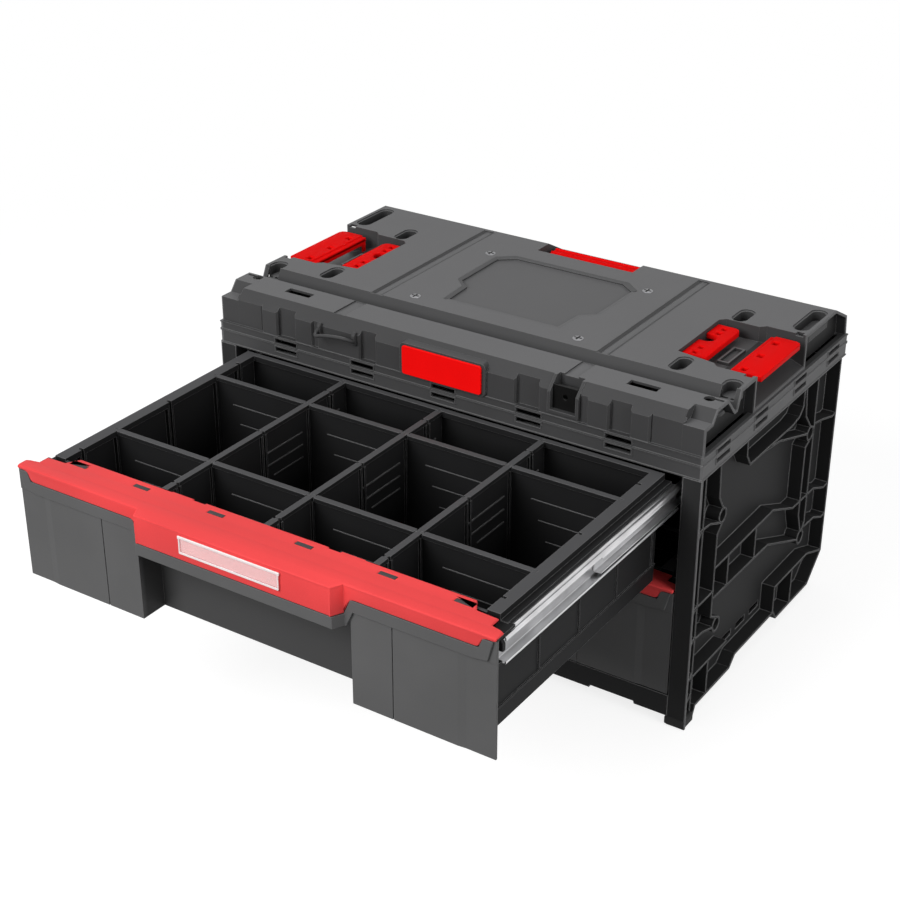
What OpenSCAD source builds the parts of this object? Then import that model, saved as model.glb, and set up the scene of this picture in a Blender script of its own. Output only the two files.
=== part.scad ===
// Stacking toolbox with two full-extension drawers, upper drawer pulled out.
// X runs across the front, Y from the front to the back, Z up from the floor.
// Sizes inside the modules are counted from the middle of the cabinet's front plane.

/* [Cabinet] */
// Width over the collar
cabinet_w = 576; // [560:2:600]
// Depth from the posts to the back of the collar
cabinet_d = 340; // [336:2:380]
// Height from the floor to the deck
cabinet_h = 344; // [340:2:380]
// Thickness of a moulded wall
wall = 2.8; // [2.4:0.1:3.2]
// Thickness of a stiffening rib
rib = 2; // [1.4:0.1:2.6]
// Width of the front posts
post_w = 20; // [18:1:24]
// Height of the drawer opening's lower edge above the floor
opening_z = 34; // [32:1:40]
// Height of the collar that carries the lid
collar_h = 15; // [13:1:18]
// Diameter of the screw tubes in the side panels
tube_d = 17; // [14:1:19]
// Diameter of the case screws
screw_d = 4; // [3:0.5:5]

/* [Lid] */
// Height of the lid above its seam
lid_h = 48; // [46:1:56]
// Height of the lid's flange
flange_h = 9.5; // [8:0.5:12]
// Depth of the ledge in front of the trough
ledge_d = 50; // [46:1:54]
// Depth of the trough between ledge and deck
trough_h = 19; // [14:1:22]
// Step between the raised and the sunk panels of the front
panel_step = 2.2; // [1.6:0.2:3]
// Length of the clip windows
clip_l = 28; // [22:1:32]
// Height of the clip windows
clip_h = 5; // [4:0.5:6]
// Width of the stacking sockets in the deck
socket_w = 14; // [12:1:18]
// Length of the stacking sockets in the deck
socket_l = 31; // [26:1:36]
// Depth of the stacking sockets
socket_h = 12; // [8:1:16]
// Depth of the bare recess in the deck
badge_h = 3; // [1.6:0.2:4]

/* [Latches] */
// Thickness of the red latch plates
latch_t = 6; // [5:0.5:7]
// Depth of the latch plates below the deck
latch_drop = 4; // [3:0.5:6]
// Travel of the latch plates
latch_travel = 8; // [4:1:10]
// Travel of the rear hook
hook_travel = 6; // [3:1:8]

/* [Drawers] */
// Travel of a drawer
drawer_travel = 320; // [280:1:324]
// Gap above and below a drawer front
front_gap = 1.5; // [1:0.1:2.5]
// Gap between a drawer front and a post
post_gap = 1.2; // [0.8:0.1:2]
// Depth of the finger recess in a drawer front
recess_d = 31; // [26:1:36]
// Projection of the middle of the handle
handle_out = 11; // [6:1:14]
// Width of the middle of the handle
handle_mid_w = 220; // [180:2:230]
// Thickness of the dividers
divider_t = 2.6; // [1.8:0.2:3.4]
// Clearance of a divider in its guides
divider_gap = 0.3; // [0.2:0.05:0.6]
// Width of the label window
label_w = 114; // [90:2:130]
// Height of the label window
label_h = 18; // [14:1:20]

/* [Slides] */
// Height of a slide
slide_h = 27; // [25:1:32]
// Thickness of a slide
slide_w = 12.6; // [11.6:0.2:13.6]
// Length of a slide
slide_l = 306; // [290:2:308]
// Thickness of the slide steel
steel_t = 1.2; // [1:0.1:1.5]
// Diameter of the bearing balls
ball_d = 3.4; // [3:0.1:3.6]

/* [Hidden] */
SIDES = ["left", "right"];
LEVELS = ["lower", "upper"];

$fn = 40;
// Overrun of the cuts
cut = 1;
// Running clearance between moving pieces
run_gap = 0.4;

// Levels of the case
seam_z = cabinet_h - lid_h;
opening_top = seam_z - collar_h;
flange_top = seam_z + flange_h;
half_w = cabinet_w / 2;
bay_w = cabinet_w - 2 * post_w;
bay_x = bay_w / 2;
shell_x = half_w - rib;
back_y = cabinet_d - wall;

// Drawer fronts, stacked in the opening
front_h = (opening_top - opening_z - 3 * front_gap) / 2;
level_step = front_h + front_gap;
front_w = bay_w - 2 * post_gap;
front_x = front_w / 2;
front_proud = 2.5;
label_proud = 2.1;

// The footprint is centred with the upper drawer out
open_reach = drawer_travel + front_proud + handle_out + label_proud;
front_y = (open_reach - cabinet_d) / 2;

function level(name) = name[0] == "u" ? 1 : 0;
function base_z(name) = opening_z + front_gap + level(name) * level_step;
function run_out(name) = -level(name) * drawer_travel;
function open_y(name) = run_out(name) - front_proud;

module in_place() translate([0, front_y, 0]) children();
module to_side(side) mirror([side == "left" ? 1 : 0, 0, 0]) children();
module xy_slab(z, t) translate([0, 0, z]) linear_extrude(t) children();
module yz_slab(x, t) translate([x, 0, 0]) rotate([90, 0, 90]) linear_extrude(t) children();
module xz_slab(y, t) translate([0, y + t, 0]) rotate([90, 0, 0]) linear_extrude(t) children();

// A flat bar of width w with round ends from p to q
module bar(p, q, w) {
    run = q - p;
    translate(p) rotate(atan2(run[1], run[0])) translate([0, -w / 2]) square([norm(run), w]);
    translate(p) circle(d = w);
    translate(q) circle(d = w);
}
// A wall of width w that follows the points, with mitred corners and square ends
function across(v) = [-v[1], v[0]] / norm(v);
function mitre(a, b) = (a + b) / (1 + a * b);
function edge_at(points, i) = let (n = len(points))
    i == 0 ? across(points[1] - points[0])
    : i == n - 1 ? across(points[i] - points[i - 1])
    : mitre(across(points[i] - points[i - 1]), across(points[i + 1] - points[i]));
module strip(points, w) {
    last = len(points) - 1;
    polygon(concat([for (i = [0:last]) points[i] + edge_at(points, i) * w / 2],
        [for (i = [last:-1:0]) points[i] - edge_at(points, i) * w / 2]));
}
// The points and then their mirror images, from one side across to the other
function to_other_side(points) = concat(points,
    [for (i = [len(points) - 1:-1:0]) [-points[i][0], points[i][1]]]);
// The wall along a closed outline
module closed_strip(points, w) {
    last = len(points) - 1;
    loop = concat([points[last]], points, [points[0]]);
    outer = [for (i = [1:last + 1]) loop[i] + edge_at(loop, i) * w / 2];
    inner = [for (i = [1:last + 1]) loop[i] - edge_at(loop, i) * w / 2];
    difference() {
        polygon(outer);
        polygon(inner);
    }
    difference() {
        polygon(inner);
        polygon(outer);
    }
}
// A slot with round ends, length l along Y
module oblong(l, w) {
    square([w, l - w], center = true);
    for (s = [-1, 1]) translate([0, s * (l - w) / 2]) circle(d = w);
}
// A rectangle from corner a to corner b
module span(a, b) translate(a) square(b - a);
// A rectangle with rounded corners, centred
module round_rect(w, h, r) {
    square([w - 2 * r, h], center = true);
    square([w, h - 2 * r], center = true);
    for (x = [-1, 1], y = [-1, 1]) translate([x * (w / 2 - r), y * (h / 2 - r)]) circle(r);
}

// Side panel: outline seen from the side, from the front foot to the back
foot_l = 21;
skid_z = 13;
arch_z = 24;
heel_z = 42;
heel_run = 32;
side_back = back_y - rib;
skid_share = 0.31;
arch_share = 0.62;
side_outline = [[0, 0], [foot_l, 0], [foot_l + skid_z / 2, skid_z], [cabinet_d * skid_share, skid_z],
    [cabinet_d * skid_share + arch_z / 2, arch_z], [cabinet_d * arch_share, arch_z],
    [cabinet_d * arch_share + arch_z / 3, skid_z], [side_back - heel_run, skid_z], [side_back, heel_z],
    [side_back, opening_top], [0, opening_top]];
// Places on the side panel as shares of its depth and of the height below the collar
function on_side(p) = [p[0] * side_back, p[1] * opening_top];
tube_shares = [[0.172, 0.776], [0.793, 0.776], [0.795, 0.328], [0.185, 0.325]];
grip_shares = [[0.31, 1], [0.314, 0.93], [0.34, 0.885], [0.645, 0.885], [0.69, 0.895], [0.715, 0.925],
    [0.718, 1]];
rib_shares = [
    [[0.043, 1], [0.043, 0.05]],
    [[0.135, 1], [0.142, 0.86], [0.172, 0.806]],
    [[0.172, 0.746], [0.145, 0.715], [0.145, 0.5], [0.145, 0.38], [0.185, 0.355]],
    [[0, 0.796], [0.09, 0.788], [0.15, 0.758]],
    [[0.34, 0.885], [0.44, 0.885], [0.55, 0.868], [0.77, 0.785]],
    [[0.73, 1], [0.745, 0.87], [0.79, 0.806]],
    [[0.82, 1], [0.82, 0.38], [0.805, 0.358]],
    [[0.793, 0.746], [0.765, 0.73], [0.765, 0.44], [0.79, 0.358]],
    [[0.82, 0.803], [0.89, 0.787], [0.97, 0.76], [1, 0.762]],
    [[0.145, 0.578], [0.55, 0.583], [0.71, 0.503], [0.87, 0.5], [0.96, 0.455], [1, 0.457]],
    [[0.145, 0.455], [0.53, 0.448], [0.765, 0.332]],
    [[0.82, 0.36], [0.9, 0.354], [0.97, 0.318], [1, 0.32]],
    [[0, 0.485], [0.15, 0.485]],
    [[0, 0.357], [0.095, 0.35], [0.16, 0.325]],
    [[0, 0.194], [0.275, 0.194]],
    [[0.15, 0.194], [0.15, 0.05]],
    [[0.625, 0.09], [0.625, 0.205], [0.875, 0.205], [1, 0.15]],
    [[0.76, 0.205], [0.76, 0.05]],
    [[0.43, 0.583], [0.43, 0.45]],
    [[0.24, 0.578], [0.24, 0.45]]];
brace_shares = [0.75, 0.45, 0.32, 0.17, 0.08];
brace_w_share = 0.04;
drain_shares = [0.34, 0.44, 0.54];
drain_l = 22;
drain_h = 7;
drain_z = arch_z + rib + drain_h;

module side_panel(side) color("#242424") in_place() to_side(side) {
    difference() {
        union() {
            yz_slab(bay_x, wall) polygon(side_outline);
            yz_slab(bay_x + wall, post_w - wall - rib) {
                intersection() {
                    polygon(side_outline);
                    union() {
                        closed_strip(side_outline, 2 * rib);
                        for (r = rib_shares) strip([for (p = r) on_side(p)], rib);
                        strip([for (p = grip_shares) on_side(p)], rib);
                        for (b = brace_shares)
                            bar(on_side([0, b]), on_side([brace_w_share, b + brace_w_share]), rib);
                    }
                }
                for (t = tube_shares) translate(on_side(t)) circle(d = tube_d);
            }
            // Front post, with its foot
            translate([bay_x, 0, 0]) cube([post_w, wall, opening_top]);
            translate([bay_x, 0, 0]) cube([post_w - rib, foot_l, rib]);
        }
        for (t = tube_shares) translate([0, on_side(t)[0], on_side(t)[1]]) rotate([0, 90, 0]) {
            translate([0, 0, bay_x + wall]) cylinder(d = tube_d - 2 * rib, h = post_w);
            translate([0, 0, bay_x - cut]) cylinder(d = screw_d + 2 * run_gap, h = post_w);
        }
        for (d = drain_shares) translate([bay_x - cut, d * side_back, drain_z])
            cube([wall + 2 * cut, drain_l, drain_h]);
    }
}

// Collar: ring under the lid that joins posts, sides and back, with clip windows
front_clip_shares = [-0.345, -0.173, 0, 0.173, 0.345];
side_clip_shares = [0.127, 0.373, 0.645, 0.893];
collar_r = 3;
collar_clip_drop = 1.6 * clip_h;
collar_clip_z = seam_z - collar_clip_drop;
// The collar and the lid's flange stand back a little between their edges
lip_in = 0.8;
lip_band = 1.3;
clip_frame = 1.3;
module case_outline(inset) translate([0, cabinet_d / 2])
    square([cabinet_w - 2 * inset, cabinet_d - 2 * inset], center = true);
module ring(inset, t) difference() {
    case_outline(inset);
    case_outline(t);
}
module clip_boxes(z, grow, depth) {
    for (c = front_clip_shares) translate([c * cabinet_w - clip_l / 2 - grow, wall - depth, z - grow])
        cube([clip_l + 2 * grow, depth, clip_h + 2 * grow]);
    for (c = side_clip_shares, s = [-1, 1])
        translate([s * (half_w - wall + depth / 2) - depth / 2, c * cabinet_d - clip_l / 2 - grow,
            z - grow])
            cube([depth, clip_l + 2 * grow, clip_h + 2 * grow]);
}
module clip_windows(z) {
    clip_boxes(z, 0, wall + cut);
    clip_boxes(z, 0, wall);
    for (c = front_clip_shares) translate([c * cabinet_w - clip_l / 2, wall - cut, z])
        cube([clip_l, 2 * cut, clip_h]);
    for (c = side_clip_shares, s = [-1, 1]) translate([s * (half_w - wall) - cut,
        c * cabinet_d - clip_l / 2, z])
        cube([2 * cut, clip_l, clip_h]);
}
module clip_frames(z) clip_boxes(z, clip_frame, wall);
module collar_frame() color("#3a3a3a") in_place() {
    difference() {
        union() {
            xy_slab(opening_top, collar_h) ring(lip_in, wall);
            xy_slab(opening_top, lip_band) ring(0, wall);
            xy_slab(seam_z - lip_band, lip_band) ring(0, wall);
            clip_frames(collar_clip_z);
            xy_slab(opening_top, wall) difference() {
                case_outline(lip_in);
                translate([-bay_x, wall + post_w / 2])
                    square([bay_w, side_back - 2 * rib - wall - post_w / 2]);
            }
        }
        clip_windows(collar_clip_z);
    }
}

// Back: a skin between the side panels with upright and level ribs outside
back_ribs = 7;
module back_panel() color("#242424") in_place() {
    back_z = skid_z + rib;
    back_top = opening_top - back_z;
    translate([-bay_x, side_back - wall - 2 * rib, back_z]) cube([bay_w, wall, back_top]);
    xz_slab(side_back - 2 * rib, 2 * rib) difference() {
        span([-bay_x, back_z], [bay_x, opening_top]);
        for (i = [0:back_ribs - 1], j = [0:2]) {
            cell_w = bay_w / back_ribs;
            cell_h = back_top / 3;
            span([-bay_x + i * cell_w + rib, back_z + j * cell_h + rib],
                [-bay_x + (i + 1) * cell_w - rib, back_z + (j + 1) * cell_h - rib]);
        }
    }
}

// Floor: a pan with ribs and two rear feet
floor_z = 18;
rear_foot_w = 30;
rear_foot_l = 26;
floor_d = side_back - 2 * wall - 2 * rib;
module floor_panel() color("#242424") in_place() {
    translate([-bay_x, wall, floor_z]) cube([bay_w, floor_d, wall]);
    for (i = [0:4]) translate([-bay_x + i * (bay_w - rib) / 4, wall, skid_z + rib])
        cube([rib, floor_d, floor_z - skid_z - rib]);
    for (s = [-1, 1])
        translate([s * (bay_x - rear_foot_w) - rear_foot_w / 2, floor_d - heel_run - rear_foot_l / 2, 0])
            cube([rear_foot_w, rear_foot_l, floor_z]);
}

// Bottom rail: front strip under the drawers with a scalloped lower edge
rail_z = 10;
scallop = 3;
scallop_shares = [0.3, 0.66, 0.87];
module bottom_rail() color("#303030") in_place() xz_slab(0, wall) difference() {
    span([-bay_x, rail_z], [bay_x, opening_z]);
    span([-bay_x * scallop_shares[0], 0], [bay_x * scallop_shares[0], rail_z + scallop]);
    for (s = [-1, 1]) polygon([[s * bay_x * scallop_shares[1], 0],
        [s * bay_x * scallop_shares[1] + s * scallop, rail_z + scallop],
        [s * bay_x * scallop_shares[2] - s * scallop, rail_z + scallop],
        [s * bay_x * scallop_shares[2], 0]]);
}

// Lid profile seen from the side, along the middle of its wall
deck_mid = cabinet_h - wall / 2;
nose = 13;
nose_z = cabinet_h - nose;
// Between the outer face of a sloping wall and its middle, at a corner
slant = wall * tan(22.5) / 2;
deep_share = 2.4;
panel_deep = deep_share * panel_step;
trough_slope = 16;
trough_floor = 5;
trough_back = 8.5;
trough_z = cabinet_h - trough_h;
deck_y = ledge_d + trough_slope + trough_floor + trough_back;
lid_back = cabinet_d - wall;
tail = 30;
tail_drop = 16;
deck_back = lid_back - wall - tail;
shell_front = lip_in + panel_deep + wall / 2;
end_front = lip_in + panel_step + wall / 2;
corner_w = 23;
corner_drop = 11;
corner_l = 19;
corner_rise = 9;
rest_of_profile = [[ledge_d, deck_mid], [ledge_d + trough_slope, trough_z],
    [ledge_d + trough_slope + trough_floor, trough_z], [deck_y, deck_mid], [deck_back, deck_mid],
    [lid_back - wall, deck_mid - tail_drop], [lid_back, flange_top - wall / 2]];
main_profile = concat([[shell_front, flange_top - wall / 2], [shell_front, nose_z
    + shell_front - wall / 2 - slant],
    [nose + slant, deck_mid]], rest_of_profile);
end_profile = concat([[end_front, flange_top - wall / 2], [end_front, deck_mid - corner_drop],
    [corner_l, deck_mid - corner_drop], [corner_l + corner_rise, deck_mid]], rest_of_profile);
end_x = shell_x - corner_w;
// The open ends are closed by plates a little way in
end_inset = 12;

// Front panels as shares of half the lid's width, each with its depth behind the foremost
middle_share = 0.292;
panel_shares = [[0.38, 0.538, 0], [0.535, 0.57, panel_step], [0.565, 0.65, 0], [0.727, 0.802, 0],
    [0.8, 0.92, panel_step]];
panel_bevel = 2;
module raised_panel(x0, x1, depth) intersection() {
    back = lip_in + panel_deep + wall / 2;
    face = lip_in + depth;
    xy_slab(flange_top, lid_h) polygon([[x0, back], [x0, face + panel_bevel], [x0 + panel_bevel, face],
        [x1 - panel_bevel, face], [x1, face + panel_bevel], [x1, back]]);
    yz_slab(x0, x1 - x0) polygon([[face, flange_top], [face, nose_z + face], [back, nose_z + back],
        [back, flange_top]]);
}

// Hand recess at each side of the lid
hand_share = 0.33;
hand_y = hand_share * cabinet_d;
hand_l = 116;
hand_deep = 93;
hand_in = half_w - hand_deep;
hand_shelf = 51;
hand_mid = half_w - hand_shelf;
hand_step = 6;
hand_drop = 18;
hand_floor_z = cabinet_h - hand_drop;
hand_outline = [[hand_in, hand_y + 2 * hand_step], [hand_in, hand_y + hand_l - 2 * hand_step],
    [hand_in + hand_step, hand_y + hand_l - hand_step], [hand_mid, hand_y + hand_l - hand_step],
    [hand_mid + hand_step, hand_y + hand_l], [half_w + cut, hand_y + hand_l], [half_w + cut, hand_y],
    [hand_mid + hand_step, hand_y], [hand_mid, hand_y + hand_step]];
// Ribbed pocket on the recess floor
pocket_in = 11;
pocket_w = 11;
pocket_y = hand_y + 40;
pocket_l = 37;
pocket_h = 5;
pocket_outline = [[hand_mid - pocket_in, pocket_y], [hand_mid - pocket_in + pocket_w, pocket_y],
    [hand_mid - pocket_in + pocket_w, pocket_y + pocket_l], [hand_mid - pocket_in, pocket_y + pocket_l]];
module hand_recess_walls() {
    xy_slab(flange_top - wall, lid_h - flange_h + wall) difference() {
        closed_strip(hand_outline, 2 * wall);
        polygon(hand_outline);
    }
    intersection() {
        xy_slab(seam_z, lid_h) polygon(hand_outline);
        xz_slab(hand_y, hand_l) strip([[hand_in, hand_floor_z], [hand_mid, hand_floor_z],
            [half_w, flange_top + wall / 2]], wall);
    }
    xy_slab(hand_floor_z, pocket_h) closed_strip(pocket_outline, rib);
}

// Sockets for the feet of the box above, and the long slots near the corners
socket_in = 77;
socket_x = half_w - socket_in;
socket_reach = 70;
socket_ys = [cabinet_d / 2 - socket_reach, cabinet_d / 2 + socket_reach];
slot_w = 15;
slot_l = 58;
slot_x = half_w - slot_w;
slot_back_share = 0.65;
slot_ys = [ledge_d + trough_slope, deck_back - slot_back_share * slot_l];
module sockets(grow) for (s = [-1, 1]) {
    for (y = socket_ys) translate([s * socket_x, y]) oblong(socket_l + 2 * grow, socket_w + 2 * grow);
    for (y = slot_ys) translate([s * slot_x, y]) oblong(slot_l + 2 * grow, slot_w + 2 * grow);
}
socket_rim = 1.6;
ledge_slot_x = half_w - 83;
ledge_slot_y = 35;
ledge_slot_w = 32;
ledge_slot_l = 11;
// Hooked notch in the ledge beside the trough
hook_notch_x = half_w - 19;
hook_notch_y = ledge_d - 5.5;
hook_notch_d = 11;
hook_notch_l = 14;
// Small window beside each end of the hand recess
side_window_in = 14;
side_window = [8, 5];
groove_x = 129;
groove_w = 15;
groove_h = 1.7;
groove_back = deck_back - wall;
badge_points = [for (p = [[71, 0.312], [73.5, 0.43], [88, 0.47], [89, 0.7], [71, 0.744]]) [p[0],
    p[1] * cabinet_d]];
badge_outline = to_other_side(badge_points);
badge_lip = 5;
badge_inner_share = 0.93;
badge_mid = (badge_points[0][1] + badge_points[4][1]) / 2;
badge_inner = [for (p = badge_outline)
    [p[0] - sign(p[0]) * badge_lip, badge_mid + badge_inner_share * (p[1] - badge_mid)]];

// Rear notch for the hook bar
notch_x = 60;
notch_l = 57;
notch_y = lid_back - notch_l;
notch_drop = 16;
notch_floor_z = cabinet_h - notch_drop;
notch_side = [[notch_y - wall, notch_floor_z - wall], [lid_back, notch_floor_z - wall],
    [lid_back - wall, deck_mid - tail_drop], [deck_back, deck_mid], [notch_y - wall, deck_mid]];

// Lock plate pocket, right of the middle
lock_x = 138;
lock_w = 28;
lock_drop = 32;
lock_z = cabinet_h - lock_drop;
lock_d = 18;
lock_hole_d = 5;
lock_rim = 3;
lock_out = 1.2;
lock_rim_outline = [[-lock_out, lock_z - lock_rim], [-lock_out, nose_z], [nose - lock_out, cabinet_h],
    [lock_d + lock_rim, cabinet_h], [lock_d + lock_rim, lock_z - lock_rim]];

plate_w = 94;
plate_h = 31;
plate_gap = 1.2;
plate_z = flange_top + plate_gap + plate_h / 2;
plate_r = 3;
plate_t = 2.4;
plate_rim = 4;
boss_out = 1.6;

deck_screw_x = 98.5;
deck_screw_shares = [0.281, 0.714];
head_d = 8.5;
head_h = 2.4;
boss_d = 13;
module at_deck_screws(z) for (s = [-1, 1], h = deck_screw_shares)
    translate([s * deck_screw_x, h * cabinet_d, z]) children();

// Pad behind the cable hook, left of the middle
cable_x = 130;
cable_w = 46;
lug_w = 5;
cable_pad = cable_w / 2 + lug_w / 2 + panel_bevel;

module lid_shell() difference() {
    union() {
        yz_slab(-end_x, 2 * end_x) strip(main_profile, wall);
        for (s = [-1, 1]) {
            yz_slab(s * (end_x + corner_w / 2) - corner_w / 2, corner_w) strip(end_profile, wall);
            yz_slab(s * (end_x - wall / 2) - wall / 2, wall) polygon(main_profile);
            yz_slab(s * (shell_x - end_inset) - wall / 2, wall) polygon(end_profile);
        }
        raised_panel(-middle_share * half_w, middle_share * half_w, 0);
        for (m = [0, 1], p = panel_shares) mirror([m, 0, 0]) raised_panel(p[0] * half_w, p[1] * half_w,
            p[2]);
        raised_panel(-cable_x - cable_pad, -cable_x + cable_pad, 0);
    }
    for (m = [0, 1]) mirror([m, 0, 0]) xy_slab(flange_top, lid_h) polygon(hand_outline);
    translate([-notch_x, notch_y, notch_floor_z]) cube([2 * notch_x, cabinet_d, lid_h]);
}
// Ribs that lead down from the sockets, kept under the lid's skin
module socket_tubs() intersection() {
    xy_slab(cabinet_h - socket_h - rib, socket_h + rib) sockets(rib);
    union() {
        translate([-shell_x, 0, 0]) cube([cabinet_w - 2 * rib, ledge_d, cabinet_h - corner_drop]);
        translate([-shell_x, ledge_d, 0]) cube([cabinet_w - 2 * rib, deck_y - ledge_d, trough_z + rib]);
        translate([-shell_x, deck_y, 0]) cube([cabinet_w - 2 * rib, cabinet_d, cabinet_h]);
    }
}
module lid() color("#4a4a4a") in_place() difference() {
    union() {
        xy_slab(seam_z, flange_h) ring(lip_in, wall);
        xy_slab(seam_z, lip_band) ring(0, wall);
        xy_slab(flange_top - lip_band, lip_band) ring(0, wall);
        xy_slab(flange_top - wall, wall) ring(lip_in, 3 * wall);
        clip_frames(seam_z + clip_h / 3);
        intersection() {
            lid_shell();
            xy_slab(seam_z, lid_h) case_outline(0);
        }
        for (m = [0, 1]) mirror([m, 0, 0]) intersection() {
            hand_recess_walls();
            translate([0, 0, seam_z]) cube([shell_x, cabinet_d, lid_h]);
        }
        socket_tubs();
        xy_slab(cabinet_h - wall - badge_h, badge_h + wall / 2) polygon(badge_outline);
        at_deck_screws(flange_top) cylinder(d = boss_d, h = lid_h - flange_h - wall / 2);
        // Floor, front and sides of the rear notch
        translate([-notch_x - wall, notch_y - wall, notch_floor_z - wall])
            cube([2 * (notch_x + wall), notch_l, wall]);
        translate([-notch_x - wall, notch_y - wall, notch_floor_z - wall])
            cube([2 * (notch_x + wall), wall, notch_drop + wall / 2]);
        for (s = [-1, 1]) yz_slab(s * (notch_x + wall / 2) - wall / 2, wall) polygon(notch_side);
        yz_slab(lock_x - lock_w / 2 - lock_rim, lock_w + 2 * lock_rim) polygon(lock_rim_outline);
        xz_slab(-boss_out, nose) translate([0, plate_z])
            round_rect(plate_w + 2 * plate_rim, plate_h + plate_rim, plate_r + plate_rim / 2);
    }
    clip_windows(seam_z + clip_h / 3);
    intersection() {
        xy_slab(cabinet_h - socket_h, lid_h) sockets(0);
        translate([-half_w, ledge_d + trough_slope, 0]) cube([cabinet_w, cabinet_d, 2 * cabinet_h]);
    }
    intersection() {
        xy_slab(cabinet_h - socket_rim, lid_h) sockets(socket_rim);
        translate([-half_w, deck_y, 0]) cube([cabinet_w, cabinet_d, 2 * cabinet_h]);
    }
    for (m = [0, 1]) mirror([m, 0, 0]) {
        translate([ledge_slot_x - ledge_slot_w / 2, ledge_slot_y - ledge_slot_l / 2, cabinet_h - 2 * wall])
            cube([ledge_slot_w, ledge_slot_l, lid_h]);
        translate([hook_notch_x, hook_notch_y, cabinet_h - 2 * wall]) cylinder(d = hook_notch_d, h = lid_h);
        translate([hook_notch_x, hook_notch_y, cabinet_h - 2 * wall])
            cube([hook_notch_l, hook_notch_d / 3, lid_h]);
        for (y = [hand_y - side_window[1], hand_y + hand_l])
            translate([half_w - side_window_in, y, cabinet_h - wall]) cube([side_window[0],
                side_window[1], lid_h]);
        translate([groove_x, deck_y - cut, cabinet_h - groove_h]) cube([groove_w, groove_back - deck_y,
            lid_h]);
        translate([groove_x, nose, cabinet_h - groove_h]) cube([groove_w, ledge_d - nose + cut, lid_h]);
    }
    xy_slab(cabinet_h - badge_h / 3, lid_h) polygon(badge_outline);
    xy_slab(cabinet_h - badge_h, lid_h) polygon(badge_inner);
    at_deck_screws(cabinet_h - head_h) cylinder(d = head_d + 2 * run_gap, h = lid_h);
    at_deck_screws(seam_z) cylinder(d = screw_d + 2 * run_gap, h = lid_h);
    translate([lock_x - lock_w / 2, -lock_rim - cut, lock_z]) cube([lock_w, lock_d + lock_rim + cut,
        lid_h]);
    // Nothing of the lid rises above the deck
    translate([-half_w, -nose, cabinet_h]) cube([cabinet_w, 2 * cabinet_d, lid_h]);
}

// Name plate: bare rounded plate on the boss in front of the lid
module name_plate() color("#e01a1c") in_place() xz_slab(-boss_out - plate_t, plate_t) translate([0,
    plate_z])
    round_rect(plate_w, plate_h, plate_r);

// Lock plate in its pocket
lock_t = 3;
lock_y = 4;
module lock_plate() color("#101010") in_place() {
    difference() {
        translate([lock_x - lock_w / 2, lock_y, lock_z]) cube([lock_w, lock_t, nose_z + nose / 2 - lock_z]);
        translate([lock_x, 0, lock_z + lock_w / 2]) rotate([-90, 0, 0]) cylinder(d = lock_hole_d,
            h = lock_d);
    }
    translate([lock_x - lock_w / 2, lock_y + lock_t, lock_z]) cube([lock_w, lock_d - lock_y - lock_t,
        lock_t]);
}

// Cable hook: a loop that leans out and up from two lugs on the lid's front
cable_drop = 12;
cable_z = cabinet_h - cable_drop;
cable_out = 16;
cable_root = 2.5;
cable_d = 4;
cable_t = 3.4;
cable_bend = 5;
cable_lean = 35;
lug_h = 17;
module cable_hook() color("#303030") in_place() translate([-cable_x, lip_in, cable_z]) {
    rotate([-cable_lean, 0, 0]) xy_slab(0, cable_t) crossing_strip([[cable_w / 2, -cable_root],
        [cable_w / 2, -cable_out + cable_bend], [cable_w / 2 - cable_bend, -cable_out]], cable_d);
    for (s = [-1, 1]) translate([s * cable_w / 2 - lug_w / 2, -lug_w, lug_w - lug_h])
        cube([lug_w, lug_w, lug_h]);
}

// Deck screws, countersunk heads with a cross recess
cross_l_share = 0.64;
cross_w_share = 0.14;
module cross_recess(d, h) for (a = [0, 90]) rotate(a)
    translate([-d * cross_l_share / 2, -d * cross_w_share / 2, 0]) cube([d * cross_l_share,
        d * cross_w_share, h]);
module deck_screws() color("#8a8a8a") in_place() {
    difference() {
        at_deck_screws(cabinet_h - head_h) cylinder(d = head_d, h = head_h - run_gap);
        at_deck_screws(cabinet_h - head_h / 2) cross_recess(head_d, head_h);
    }
    at_deck_screws(seam_z + run_gap) cylinder(d = screw_d, h = lid_h - head_h - run_gap);
}

// Case screws, one at the bottom of each screw tube
case_screw_l = post_w / 2;
module case_screws() color("#8a8a8a") in_place() for (side = SIDES) to_side(side)
    for (t = tube_shares) translate([bay_x + wall, on_side(t)[0], on_side(t)[1]]) rotate([0, 90, 0]) {
        difference() {
            cylinder(d = head_d, h = head_h);
            translate([0, 0, head_h / 2]) cross_recess(head_d, head_h);
        }
        translate([0, 0, -case_screw_l / 2]) cylinder(d = screw_d, h = case_screw_l / 2);
    }

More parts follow.
